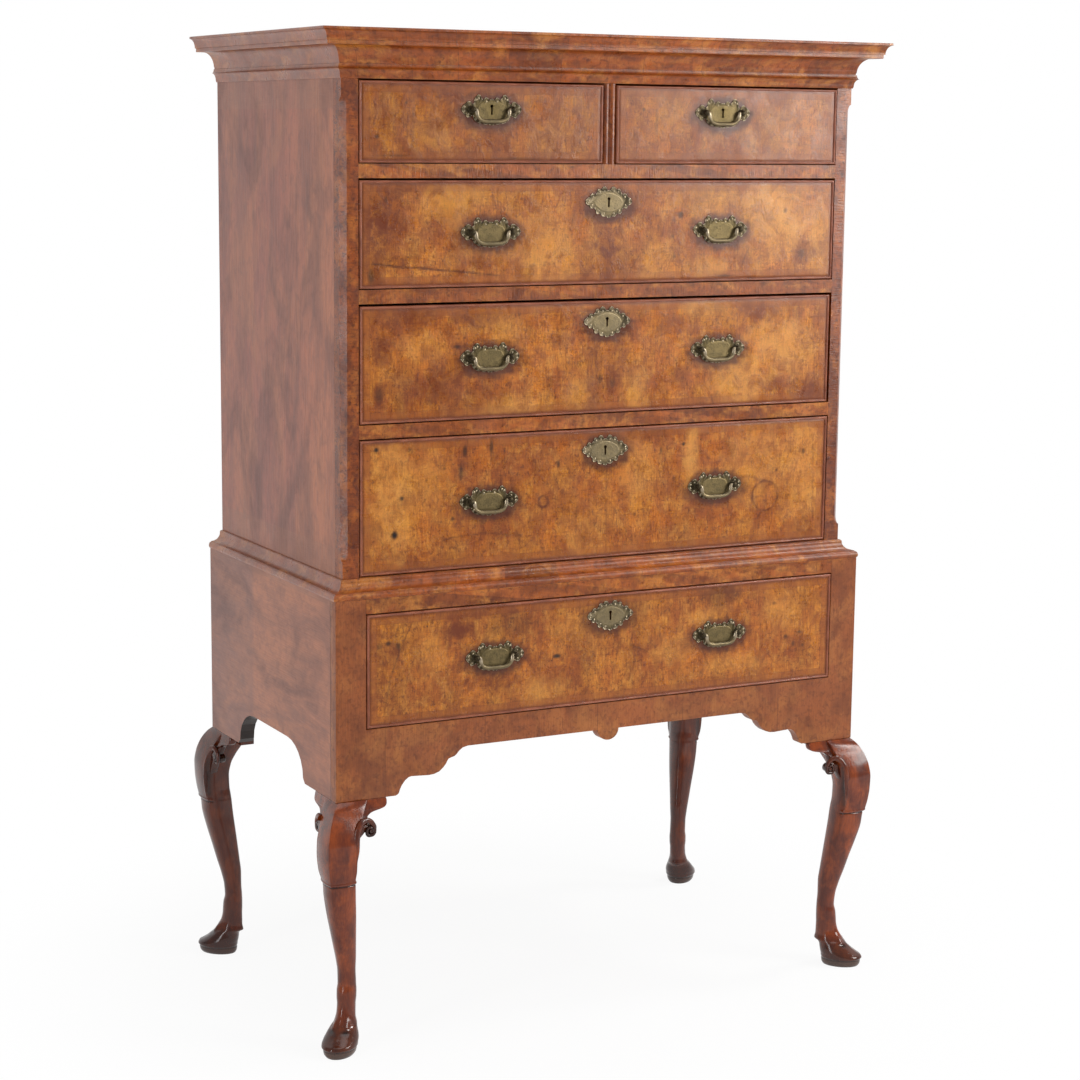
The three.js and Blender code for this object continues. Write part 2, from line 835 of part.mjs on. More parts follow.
function rod(radius, length) {
  return new THREE.CylinderGeometry(radius, radius, length, rodSides);
}

const postHalf = postSpacing / 2;
const pinLevel = postLength - pinSetback;

// The plate lies on the drawer front, which is at y = 0, and its two posts stand out from it
function handlePlateGeometry(keyed) {
  const outline = wholeOutline(plateShares, plateWidth, plateHeight);
  const holes = keyed ? [keyholeOutline()] : [];
  const plate = frontBoard(outline, -plateThickness - glueLine, plateThickness, holes);
  const parts = [plate];
  const root = glueLine + plateThickness / 2;
  for (const side of [-1, 1]) {
    const length = postLength - root;
    parts.push(rod(postRadius, length).translate(side * postHalf, -root - length / 2, 0));
  }
  const bored = pinRadius + pinClearance;
  const boreLength = postSpacing + 2 * (postRadius + overrun);
  const bore = rod(bored, boreLength).rotateZ(Math.PI / 2);
  return cut(joined(parts), [bore.translate(0, -pinLevel, 0)]);
}

// The bail hangs between the posts and its ends turn outwards into them
// Its left half as shares of the way in from the post to the flat part, and of its drop
const bailShares = [
  [0, 0],
  [0.1, 0.4],
  [0.45, 0.8],
  [1, 1],
];
function bailGeometry() {
  const inner = postHalf - postRadius - pinClearance - bailRadius;
  const flat = bailFlatWidth / 2;
  const points = bailShares.map(([across, down]) => [
    -inner + (inner - flat) * across,
    -bailDrop * down,
  ]);
  const path = [...points, ...points.map(([x, z]) => [-x, z]).reverse()];
  const curve = new THREE.CatmullRomCurve3(
    path.map(([x, z]) => new THREE.Vector3(x, 0, z)),
  );
  const section = [];
  for (let i = 0; i < rodSides; i += 1) {
    const angle = (2 * Math.PI * i) / rodSides;
    section.push([bailRadius * Math.cos(angle), bailRadius * Math.sin(angle)]);
  }
  const bow = new THREE.ExtrudeGeometry(shapeOf(section), {
    steps: bailSteps,
    extrudePath: curve,
    bevelEnabled: false,
  });
  const pinEnd = postHalf + postRadius;
  const parts = [bow];
  for (const side of [-1, 1]) {
    const length = pinEnd - inner;
    const pin = rod(pinRadius, length).rotateZ(Math.PI / 2);
    parts.push(pin.translate((side * (pinEnd + inner)) / 2, 0, 0));
    const knuckle = new THREE.SphereGeometry(bailRadius, rodSides, knuckleSteps);
    parts.push(knuckle.translate(side * inner, 0, 0));
  }
  return joined(parts);
}

const plainPlate = handlePlateGeometry(false);
const keyedPlate = handlePlateGeometry(true);
const bail = bailGeometry();
const escutcheonOutline = wholeOutline(escutcheonShares, escutcheonWidth, escutcheonHeight);
const escutcheon = frontBoard(
  escutcheonOutline,
  -plateThickness - glueLine,
  plateThickness,
  [keyholeOutline()],
);

// Drawers

// A drawer front with a raised bead round its edge and, where it locks, a keyhole
function drawerFrontGeometry(width, height, keyReach, keyLevel) {
  const half = width / 2;
  const whole = block([-half, -beadHeight, 0], [half, drawerFrontThickness, height]);
  const field = block(
    [-half + beadWidth, -beadHeight - overrun, beadWidth],
    [half - beadWidth, 0, height - beadWidth],
  );
  const hole = frontBoard(keyholeOutline(), -overrun, overrun + keyholeDepth);
  return cut(whole, [field, hole.translate(keyReach, 0, keyLevel)]);
}

// The open box behind the front: two sides, a back and a bottom
function drawerBoxGeometry(width, height, length) {
  const half = width / 2;
  const outer = block([-half, 0, 0], [half, length, height]);
  const inner = block(
    [-half + drawerSideThickness, -overrun, drawerBottomThickness],
    [half - drawerSideThickness, length - drawerSideThickness, height + overrun],
  );
  return cut(outer, [inner]);
}

// Adds one drawer with its brasses, in an opening given by its middle, width, floor and height
function addDrawer(drawer) {
  const { word, middle, width, level, height, front, room, rise, handles, keyed } = drawer;
  const frontWidth = width - 2 * drawerGap;
  const frontHeight = height - 2 * drawerGap;
  const frontLevel = level + drawerGap;
  const handleLevel = height / 2 - drawerGap + rise;
  const keyLevel = keyed ? handleLevel : frontHeight - escutcheonDrop;
  const keyReach = keyed ? handles[0].reach - middle : 0;
  const face = drawerFrontGeometry(frontWidth, frontHeight, keyReach, keyLevel);
  addPiece("drawer_front_" + word, face, "veneer", [middle, front, frontLevel]);

  const boxLevel = level + restGap;
  const boxHeight = frontLevel + frontHeight - drawerSideDrop - boxLevel;
  const boxFront = front + drawerFrontThickness + glueLine;
  const box = drawerBoxGeometry(frontWidth, boxHeight, room - drawerBackGap - boxFront);
  addPiece("drawer_box_" + word, box, "secondary", [middle, boxFront, boxLevel]);

  for (const { suffix, reach } of handles) {
    const name = word + suffix;
    const plate = keyed ? keyedPlate : plainPlate;
    addPiece("handle_plate_" + name, plate, "brass", [reach, front, frontLevel + handleLevel]);
    addPiece("bail_" + name, bail, "brass", [reach, front - pinLevel, frontLevel + handleLevel]);
  }
  if (!keyed) {
    const place = [middle, front, frontLevel + keyLevel];
    addPiece("escutcheon_" + word, escutcheon, "brass", place);
  }
}

const shortWidth = openingHalf - dividerHalf;
const shortMiddle = dividerHalf + shortWidth / 2;
const longHandles = [
  { suffix: "_left", reach: -handleSpacing / 2 },
  { suffix: "_right", reach: handleSpacing / 2 },
];

for (const [word, side] of [["short_left", -1], ["short_right", 1]]) {
  addDrawer({
    word,
    middle: side * shortMiddle,
    width: shortWidth,
    level: shortLevel,
    height: shortDrawerHeight,
    front: caseFront,
    room: caseBackFront,
    rise: shortHandleRise,
    handles: [{ suffix: "", reach: (side * handleSpacing) / 2 }],
    keyed: true,
  });
}

const longDrawers = [
  { word: "upper", level: upperLevel, height: upperDrawerHeight, rise: upperHandleRise },
  { word: "middle", level: middleLevel, height: middleDrawerHeight, rise: middleHandleRise },
  { word: "lower", level: lowerLevel, height: lowerDrawerHeight, rise: lowerHandleRise },
];
for (const long of longDrawers) {
  addDrawer({
    ...long,
    middle: 0,
    width: openingHalf * 2,
    front: caseFront,
    room: caseBackFront,
    handles: longHandles,
  });
}

addDrawer({
  word: "stand",
  middle: 0,
  width: standOpeningHalf * 2,
  level: standDrawerLevel,
  height: standDrawerHeight,
  front: standFront,
  room: standBackFront,
  rise: standHandleRise,
  handles: longHandles,
});

export default group;
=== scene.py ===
"""Walnut highboy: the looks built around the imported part, laid out as an add-on and run as a script."""

import math

import bpy
import numpy as np
from bpy.props import FloatProperty, FloatVectorProperty, PointerProperty, StringProperty
from mathutils import Matrix, Vector


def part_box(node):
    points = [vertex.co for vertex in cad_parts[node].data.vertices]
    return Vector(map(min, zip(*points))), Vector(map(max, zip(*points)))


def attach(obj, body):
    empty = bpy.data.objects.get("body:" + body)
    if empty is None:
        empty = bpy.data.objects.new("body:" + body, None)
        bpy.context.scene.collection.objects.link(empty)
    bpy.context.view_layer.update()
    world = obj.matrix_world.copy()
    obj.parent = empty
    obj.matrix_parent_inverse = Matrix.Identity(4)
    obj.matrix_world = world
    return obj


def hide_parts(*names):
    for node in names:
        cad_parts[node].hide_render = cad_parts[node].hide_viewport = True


bl_info = {
    "name": "Walnut highboy",
    "version": (1, 0, 0),
    "blender": (4, 5, 0),
    "location": "View3D > Sidebar > Highboy",
    "description": "Veneers, mouldings, carved legs and brasses of a walnut chest on stand",
    "category": "Object",
}

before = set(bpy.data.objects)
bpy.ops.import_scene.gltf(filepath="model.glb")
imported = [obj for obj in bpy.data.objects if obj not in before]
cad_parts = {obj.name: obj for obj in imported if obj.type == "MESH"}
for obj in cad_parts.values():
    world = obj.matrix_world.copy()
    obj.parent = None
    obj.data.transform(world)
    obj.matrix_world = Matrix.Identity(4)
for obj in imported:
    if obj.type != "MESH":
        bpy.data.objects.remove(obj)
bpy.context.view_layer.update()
MM = 0.001
rng = np.random.default_rng(1720)

SIDES = {"left": -1.0, "right": 1.0}
DRAWERS = ("short_left", "short_right", "upper", "middle", "lower", "stand")
CASE = "case_and_stand"
WOODS = {}

# Layout of the drawer veneer, in mm: a leaf, the crossband round it, and a leaf of the crossband
LEAF_WIDTH = 217.5
BAND_WIDTH = 17.4
BAND_LEAF = 105.0


# Colours and nodes


def srgb(code):
    """An sRGB hex colour as linear red, green, blue and full alpha."""
    parts = [int(code[i : i + 2], 16) / 255 for i in (1, 3, 5)]
    return tuple(p / 12.92 if p <= 0.04045 else ((p + 0.055) / 1.055) ** 2.4 for p in parts) + (1.0,)


def add_node(tree, kind, inputs=None, **settings):
    """Adds one shader node with its settings, sets or links its inputs, and returns its outputs."""
    made = tree.nodes.new("ShaderNode" + kind)
    for key, value in settings.items():
        setattr(made, key, value)
    for key, value in (inputs or {}).items():
        if isinstance(value, bpy.types.NodeSocket):
            tree.links.new(value, made.inputs[key])
        else:
            made.inputs[key].default_value = value
    return made.outputs


def new_material(name):
    """A material with an empty tree."""
    material = bpy.data.materials.new(name)
    material.use_nodes = True
    material.node_tree.nodes.clear()
    return material, material.node_tree


def finish_surface(tree, colour, roughness, height, depth, **constant):
    """Ends a tree in a surface shader, with relief from a height as deep as depth.

    Roughness is a value, or a socket with the values that its 0 and its 1 stand for.
    """
    if isinstance(roughness, tuple):
        dull = dict(zip(("Value", "To Min", "To Max"), roughness))
        roughness = add_node(tree, "MapRange", dull)["Result"]
    relief = add_node(tree, "Bump", {"Strength": 1.0, "Distance": depth, "Height": height})["Normal"]
    inputs = {"Base Color": colour, "Roughness": roughness, "Normal": relief, **constant}
    surface = add_node(tree, "BsdfPrincipled", inputs)["BSDF"]
    add_node(tree, "OutputMaterial", {"Surface": surface})


def pattern(tree, place, cell, span=(0.35, 0.65), detail=3.0, roughness=0.55, distortion=0.0, shift=0.0):
    """Cloudy pattern whose cells measure cell millimetres along each axis, drawn out to the span."""
    scale = tuple(1000.0 / c for c in cell)
    seat = add_node(tree, "Mapping", {"Vector": place, "Location": (shift,) * 3, "Scale": scale})["Vector"]
    noise = {"Vector": seat, "Scale": 1.0, "Detail": detail, "Roughness": roughness, "Distortion": distortion}
    spread = {"Value": add_node(tree, "TexNoise", noise)["Fac"], "From Min": span[0], "From Max": span[1]}
    return add_node(tree, "MapRange", spread, interpolation_type="SMOOTHSTEP")["Result"]


def lay_over(tree, ground, coats):
    """Lays coats over a ground colour: each has a colour, a cover, the share of it used and at times a blend.

    A colour is a hex code or a socket. A cover is a socket, or a pattern as its place, cell and the rest.
    """
    ground = srgb(ground) if isinstance(ground, str) else ground
    for colour, cover, share, *blend in coats:
        colour = srgb(colour) if isinstance(colour, str) else colour
        cover = pattern(tree, *cover) if isinstance(cover, tuple) else cover
        cover = add_node(tree, "Math", {0: cover, 1: share}, operation="MULTIPLY")[0]
        sockets = {0: cover, 6: ground, 7: colour}
        ground = add_node(tree, "Mix", sockets, data_type="RGBA", blend_type=blend[0] if blend else "MIX")[2]
    return ground


def specks(tree, place, cell, size):
    """Small dark dots, one in each cell of that many millimetres, size as a share of the cell."""
    seat = add_node(tree, "Mapping", {"Vector": place, "Scale": (1000.0 / cell,) * 3})["Vector"]
    dots = add_node(tree, "TexVoronoi", {"Vector": seat, "Scale": 1.0})
    near = {"Value": dots["Distance"], "From Min": size, "From Max": size * 0.55}
    found = add_node(tree, "MapRange", near, interpolation_type="SMOOTHSTEP")["Result"]
    chance = add_node(tree, "SeparateColor", {"Color": dots["Color"]})["Red"]
    return add_node(tree, "Math", {0: found, 1: chance}, operation="MULTIPLY")[0]


def leaf_joints(tree, run, length):
    """Random leaf lengths along a run: one random value for each leaf, and a thin line at each joint."""
    along = {"W": add_node(tree, "Math", {0: run, 1: 1000.0 / length}, operation="MULTIPLY")[0], "Scale": 1.0}
    leaves = add_node(tree, "TexVoronoi", along, voronoi_dimensions="1D")["Color"]
    value = add_node(tree, "SeparateColor", {"Color": leaves})["Green"]
    edges = add_node(tree, "TexVoronoi", along, voronoi_dimensions="1D", feature="DISTANCE_TO_EDGE")
    width = 0.7 / length
    near = {"Value": edges["Distance"], "From Min": width, "From Max": width * 0.3}
    line = add_node(tree, "MapRange", near, interpolation_type="SMOOTHSTEP")["Result"]
    return value, line


# Woods and metals


def drawer_veneer(tones):
    """French polished walnut veneer, book matched in leaves with a crossband round the edge.

    It gives the eye honey ground, red brown clouds, upright fibres, small burr flecks and old stains.
    """
    material, tree = new_material("book_matched_walnut_veneer")
    # The surface holds its place from the front's middle with a seed, and half the front's width and height
    place = add_node(tree, "Attribute", attribute_name="front_place")["Vector"]
    across, up, seed = add_node(tree, "SeparateXYZ", {"Vector": place})
    half = add_node(tree, "Attribute", attribute_name="front_half")["Vector"]
    halves = add_node(tree, "SeparateXYZ", {"Vector": half})
    # Leaves are folded open like a book at the middle and at each quarter, and flat isn't folded
    folded = add_node(tree, "Math", {0: across, 1: LEAF_WIDTH * MM}, operation="PINGPONG")[0]
    leaf = add_node(tree, "CombineXYZ", {"X": folded, "Y": seed, "Z": up})[0]
    quarter = add_node(tree, "Math", {0: across, 1: LEAF_WIDTH * MM}, operation="DIVIDE")[0]
    count = add_node(tree, "Math", {0: quarter}, operation="FLOOR")[0]
    mixed = add_node(tree, "Math", {0: count, 1: seed}, operation="ADD")[0]
    leaf_tone = add_node(tree, "TexWhiteNoise", {"W": mixed}, noise_dimensions="1D")["Value"]
    flat = add_node(tree, "CombineXYZ", {"X": across, "Y": seed, "Z": up})[0]
    mottle = pattern(tree, flat, (30, 30, 38), (0.4, 0.62), 8.0, 0.8, 0.6, 5.3)
    # Clouds, light clouds, mottle, pale flakes, burr pepper, fibres, cross figure, leaf tone and worm dots
    base = lay_over(tree, tones.honey_hex, [
        ("#8a3a0a", (leaf, (90, 60, 120), (0.36, 0.66), 4.0, 0.6, 0.9), 0.6),
        ("#dc962a", (leaf, (60, 60, 90), (0.42, 0.7), 4.0, 0.6, 0.7, 3.7), 0.5),
        ("#743006", mottle, 0.55),
        ("#e0a046", (flat, (22, 18, 30), (0.46, 0.66), 7.0, 0.8, 0.5, 9.4), 0.46),
        ("#481804", (flat, (5.2, 5, 7.5), (0.53, 0.63), 3.0, 0.75, 0.8, 1.9), 0.55),
        ("#7a3c16", (leaf, (2.4, 3.0, 20), (0.34, 0.68), 3.0, 0.65, 0.5), 0.42, "MULTIPLY"),
        ("#8a5020", (flat, (26, 30, 4.0), (0.42, 0.7), 4.0, 0.7, 0.8), 0.36, "MULTIPLY"),
        ("#8f4312", leaf_tone, 0.12),
        ("#220e06", specks(tree, leaf, 19.0, 0.085), 0.9),
    ])
    # The crossband follows the edge, with its fibres square to it and a thin dark line inside it
    room = []
    for off, reach in ((across, halves["X"]), (up, halves["Y"])):
        off = add_node(tree, "Math", {0: off}, operation="ABSOLUTE")[0]
        room.append(add_node(tree, "Math", {0: reach, 1: off}, operation="SUBTRACT")[0])
    edge = add_node(tree, "Math", dict(enumerate(room)), operation="MINIMUM")[0]
    upright = add_node(tree, "Math", dict(enumerate(room)), operation="LESS_THAN")[0]
    swapped_place = add_node(tree, "CombineXYZ", {"X": up, "Y": seed, "Z": across})[0]
    turned = add_node(tree, "Mix", {0: upright, 4: flat, 5: swapped_place}, data_type="VECTOR")[1]
    band_run = add_node(tree, "SeparateXYZ", {"Vector": turned})["X"]
    band_tone, band_line = leaf_joints(tree, band_run, BAND_LEAF)
    band = lay_over(tree, "#a85f24", [
        ("#743410", band_tone, 0.5),
        ("#642a0c", (turned, (16, 12, 26), (0.4, 0.7), 3.0, 0.6), 0.5),
        ("#93603a", (turned, (1.8, 3.0, 22), (0.3, 0.72), 2.0), 0.3, "MULTIPLY"),
        ("#3c1c0e", band_line, 0.6),
    ])
    bead = lay_over(tree, tones.bead_hex, [("#5f2c18", (turned, (30, 12, 12)), 0.55)])
    off_line = add_node(tree, "Math", {0: edge, 1: BAND_WIDTH * MM}, operation="SUBTRACT")[0]
    off_line = add_node(tree, "Math", {0: off_line}, operation="ABSOLUTE")[0]
    # Covers by a distance, from where they begin to where they are full, in mm
    covers = []
    band_edge = (edge, BAND_WIDTH + 0.2, BAND_WIDTH - 0.2)
    spans = (band_edge, (off_line, 0.9, 0.2), (edge, 5.0, 4.2), (edge, 9.5, 4.6))
    for distance, begin, full in spans:
        near = {"Value": distance, "From Min": begin * MM, "From Max": full * MM}
        covers.append(add_node(tree, "MapRange", near)["Result"])
    # The face also grows darker towards its edge, from 9.5 mm in
    banded, string, beaded, edge_darkened = covers
    # The mottle breaks up the clouds and the light leaves that are stored on the surface
    broken = []
    for name, least, most in (("cloud", 0.8, 1.5), ("light", 1.3, 0.45)):
        drawn = add_node(tree, "Attribute", attribute_name=name)["Fac"]
        share = add_node(tree, "MapRange", {"Value": mottle, "To Min": least, "To Max": most})["Result"]
        broken.append(add_node(tree, "Math", {0: drawn, 1: share}, operation="MULTIPLY")[0])
    # Stain is the halos round the brasses; the marks are worm holes, cracks and rings, and the keyhole's
    # floor painted nearly black as shade
    stain, mark_and_hole_shade = (add_node(tree, "Attribute", attribute_name=name)["Fac"] for name in ("stain", "mark_and_hole_shade"))
    colour = lay_over(tree, base, [
        (band, banded, 0.6),
        ("#5a2c12", string, 0.25),
        ("#dc9c48", broken[1], 0.6),
        ("#662802", broken[0], 0.74),
        ("#421402", stain, 0.84),
        ("#5c2508", edge_darkened, 0.7),
        (bead, beaded, 1.0),
        ("#120602", mark_and_hole_shade, 1.0),
    ])
    wear = pattern(tree, leaf, (40, 40, 40), (0.3, 0.7), 4.0, 0.6, 0.0, 8.1)
    finish_surface(tree, colour, (wear, 0.24, 0.38), mottle, 0.0001, IOR=1.45)
    return material


def solid_walnut(name, own, run, leaf_length, tones, cells, strengths, roughness=(0.26, 0.4), return_reflection=0.0):
    """Walnut in short leaves along a run: it gives the eye clouds, light patches, flecks and fibres.

    The run is one axis plus a share of another, in the place named own or else in the object's. Tones are
    dark, middle and light, and cells are of the clouds, the flecks and the fibres. What faces sideways is
    painted a rose grey by the given share, like the case's sides: a painted reflection of the pale room.
    """
    material, tree = new_material(name)
    if own:
        place = add_node(tree, "Attribute", attribute_name=own)["Vector"]
    else:
        place = add_node(tree, "TexCoord")["Object"]
    axis, other, share = run
    axes = add_node(tree, "SeparateXYZ", {"Vector": place})
    sum_of = {0: axes[other], 1: share, 2: axes[axis]}
    value, joint = leaf_joints(tree, add_node(tree, "Math", sum_of, operation="MULTIPLY_ADD")[0], leaf_length)
    fibre = pattern(tree, place, cells[2], (0.3, 0.72), 2.0)
    coats = [
        (tones[0], value, strengths[0]),
        (tones[0], (place, cells[0], (0.36, 0.68), 5.0, 0.62, 0.6), strengths[1]),
        (tones[2], (place, cells[0], (0.44, 0.72), 4.0, 0.62, 0.5, 4.3), strengths[2]),
        (tones[0], (place, cells[1], (0.44, 0.74), 4.0, 0.64, 0.6), strengths[3]),
        ("#8f5a30", fibre, strengths[4], "MULTIPLY"),
        ("#33190d", specks(tree, place, 24.0, 0.07), 0.6),
        ("#3a1608", joint, 0.5),
    ]
    # Painted reflection: faces that look sideways take the rose grey of the pale room they mirror
    if return_reflection:
        facing = add_node(tree, "SeparateXYZ", {"Vector": add_node(tree, "NewGeometry")["True Normal"]})
        sideways = add_node(tree, "Math", {0: facing["X"]}, operation="ABSOLUTE")[0]
        sideways_reflection = add_node(tree, "MapRange", {"Value": sideways, "From Min": 0.2, "From Max": 0.6})["Result"]
        coats.append(("#a87e74", sideways_reflection, return_reflection))
    colour = lay_over(tree, tones[1], coats)
    wear = pattern(tree, place, (45, 45, 45), (0.3, 0.7), 4.0, 0.6, 0.0, 8.1)
    finish_surface(tree, colour, (wear, *roughness), fibre, 0.00012, IOR=1.45)
    return material


def side_veneer(name, colour, lie, fade):
    """Plain walnut side veneer, faded to a rose grey, with crossbands and streaks that lie one way.

    The streaks stand upright on the case's sides, and lie level on the stand's. The front part is warmer,
    from the depths in fade on.
    """
    material, tree = new_material(name)
    place = add_node(tree, "TexCoord")["Object"]
    _, depth, level = add_node(tree, "SeparateXYZ", {"Vector": place})
    flow = add_node(tree, "VectorRotate", {"Vector": place, "Angle": lie}, rotation_type="X_AXIS")[0]
    fibre = pattern(tree, flow, (2.2, 2.2, 50), (0.3, 0.72), 2.0)
    grey = pattern(tree, flow, (90, 90, 160), (0.42, 0.68), 4.0, 0.6, 0.8, 5.9)
    toward = {"Value": depth, "From Min": fade[0] * MM, "From Max": fade[1] * MM}
    fronted = add_node(tree, "MapRange", toward, interpolation_type="SMOOTHSTEP")["Result"]
    # The edge of the front board shows as a greyer strip
    strip = {"Value": depth, "From Min": -261.2 * MM, "From Max": -261.8 * MM}
    stripped = add_node(tree, "MapRange", strip)["Result"]
    ground = lay_over(tree, colour, [
        ("#bc6e40", fronted, 0.66),
        ("#5e2a1c", (flow, (40, 50, 220), (0.36, 0.68), 4.0, 0.62, 0.9), 0.5),
        ("#b46a3c", (flow, (120, 90, 200), (0.4, 0.66), 4.0, 0.55, 0.7, 2.2), 0.5),
        ("#70504a", grey, 0.6),
        ("#6a3424", (flow, (12, 18, 24), (0.4, 0.72), 4.0, 0.66, 0.6, 4.4), 0.42),
        ("#8a5a44", fibre, 0.14, "MULTIPLY"),
        ("#7a4e40", stripped, 0.6),
        ("#2c150f", specks(tree, place, 46.0, 0.05), 0.7),
    ])
    band = lay_over(tree, "#9a6347", [
        ("#7d4a34", (place, (60, 34, 20)), 0.5),
        ("#7a4a34", (place, (20, 30, 1.8), (0.3, 0.72), 2.0), 0.25, "MULTIPLY"),
    ])
    # The crossbands lie over the moulding at the waist and under the cornice
    coats = []
    for low, high in ((745, 830), (1527, 1600)):
        above = {"Value": level, "From Min": (low - 0.4) * MM, "From Max": (low + 0.4) * MM}
        below = {"Value": level, "From Min": (high + 0.4) * MM, "From Max": (high - 0.4) * MM}
        ends = (add_node(tree, "MapRange", end)["Result"] for end in (above, below))
        coats.append((band, add_node(tree, "Math", dict(enumerate(ends)), operation="MULTIPLY")[0], 0.35))
    # The sawn lower edges of the boards are painted nearly black, dark end grain deepened as painted shade,
    # and their back edges are bare wood
    facing = add_node(tree, "SeparateXYZ", {"Vector": add_node(tree, "NewGeometry")["Normal"]})
    sideways = add_node(tree, "Math", {0: facing["X"]}, operation="ABSOLUTE")[0]
    end_grain_and_shade = add_node(tree, "MapRange", {"Value": sideways, "From Min": 0.6, "From Max": 0.3})["Result"]
    rear = add_node(tree, "MapRange", {"Value": depth, "From Min": 266 * MM, "From Max": 267 * MM})["Result"]
    bare = add_node(tree, "Math", {0: end_grain_and_shade, 1: rear}, operation="MULTIPLY")[0]
    colour = lay_over(tree, ground, coats + [("#0c0806", end_grain_and_shade, 0.95), ("#80603c", bare, 1.0)])
    finish_surface(tree, colour, (grey, 0.3, 0.42), fibre, 0.00012, IOR=1.45)
    return material


def carved_walnut(tones):
    """Solid walnut, carved, stained red brown and waxed, nearly black on the hoofs, nearly black in the
    hollows as dirt and painted shade, and darker to the back as painted shade.
    """
    material, tree = new_material("carved_red_walnut")
    place = add_node(tree, "TexCoord")["Object"]
    _, depth, level = add_node(tree, "SeparateXYZ", {"Vector": place})
    cloud = pattern(tree, place, (40, 40, 110), (0.38, 0.64), 5.0, 0.65, 0.5)
    fibre = pattern(tree, place, (2.2, 2.2, 60), (0.3, 0.72), 2.0)
    hoof = {"Value": level, "From Min": 62 * MM, "From Max": 30 * MM}
    low = add_node(tree, "MapRange", hoof, interpolation_type="SMOOTHSTEP")["Result"]
    foot = {"Value": level, "From Min": 15 * MM, "From Max": 9 * MM}
    worn = add_node(tree, "MapRange", foot, interpolation_type="SMOOTHSTEP")["Result"]
    # Painted shade: the legs grow darker towards the back, most on the rear legs
    behind = {"Value": depth, "From Min": -60 * MM, "From Max": 200 * MM}
    rear = add_node(tree, "MapRange", behind)["Result"]
    colour = lay_over(tree, tones.leg_hex, [
        ("#40140a", cloud, 0.62),
        ("#a84e18", (place, (24, 24, 40), (0.42, 0.68), 4.0, 0.6, 0.4, 3.1), 0.5),
        ("#6d3a26", fibre, 0.3, "MULTIPLY"),
        ("#251611", low, 0.7),
        ("#5d5148", worn, 0.5),
        ("#2a0c06", rear, 0.55),
        # Dirt in the carving, deepened nearly black as painted shade
        ("#080302", add_node(tree, "Attribute", attribute_name="hollow")["Fac"], 0.94),
    ])
    finish_surface(tree, colour, (cloud, 0.14, 0.22), fibre, 0.00003, IOR=1.48)
    return material


def bare_pine(name, base, grain):
    """Unfinished pine or oak, grey with age, with long fibres and darker summer rings."""
    material, tree = new_material(name)
    place = add_node(tree, "TexCoord")["Object"]
    fine = tuple(max(1.6, c * 0.08) if c < 100 else c for c in grain)
    fibre = pattern(tree, place, fine, (0.3, 0.72), 2.0)
    colour = lay_over(tree, base, [
        ("#8a6238", (place, grain, (0.4, 0.62), 4.0, 0.6, 0.6), 0.45),
        ("#a98a60", fibre, 0.35, "MULTIPLY"),
        ("#5a4330", (place, (160, 160, 160), (0.42, 0.75), 4.0, 0.6, 0.2, 6.6), 0.45),
    ])
    finish_surface(tree, colour, 0.72, fibre, 0.0002)
    return material


def old_brass(tones):
    """Cast lacquered brass gone dull: olive flats, worn edges with painted highlights, and dark dirt and
    painted shade by the wood.
    """
    material, tree = new_material("old_cast_brass")
    place = add_node(tree, "TexCoord")["Object"]
    spots = pattern(tree, place, (2.6, 2.6, 2.6), (0.5, 0.75), 2.0, 0.6)
    wear_and_highlight = add_node(tree, "Attribute", attribute_name="wear_and_highlight")["Fac"]
    colour = lay_over(tree, tones.brass_hex, [
        ("#4a4026", (place, (8, 8, 8), (0.36, 0.66), 5.0, 0.7), 0.7),
        ("#332c1e", spots, 0.5),
        # Worn edges, lightened nearly white as painted highlights
        ("#d8c8b0", wear_and_highlight, 0.6),
        # Dirt and tarnish, deepened as painted shade by the wood, under the posts, on the bail and in the
        # keyhole
        ("#120b06", add_node(tree, "Attribute", attribute_name="hollow")["Fac"], 0.92),
    ])
    finish_surface(tree, colour, (wear_and_highlight, 0.46, 0.24), spots, 0.0002, Metallic=0.85)
    return material


def old_iron():
    """Forged iron of the locks, brown black with rust."""
    material, tree = new_material("forged_lock_iron")
    rust = pattern(tree, add_node(tree, "TexCoord")["Object"], (9, 9, 9), (0.4, 0.7), 4.0, 0.65)
    colour = lay_over(tree, "#3a3532", [("#5e3a24", rust, 0.6)])
    finish_surface(tree, colour, 0.55, rust, 0.0002, Metallic=0.7)
    return material


# Meshes


def signed_volume(points, faces):
    """Volume in a skin, below zero if its faces look in: the tetrahedra from the origin to each triangle."""
    fans = []
    for block in faces:
        for f in [block.T] if isinstance(block, np.ndarray) else [np.asarray(f)[:, None] for f in block]:
            fans.append(np.stack([np.broadcast_to(f[:1], f[2:].shape), f[1:-1], f[2:]], -1).reshape(-1, 3))
    a, b, c = np.moveaxis(points[np.concatenate(fans)], 1, 0)
    return np.einsum("ij,ij->i", a, np.cross(b, c)).sum()


def linked(name, data):
    """An object of the scene, with the given data."""
    made = bpy.data.objects.new(name, data)
    bpy.context.scene.collection.objects.link(made)
    return made


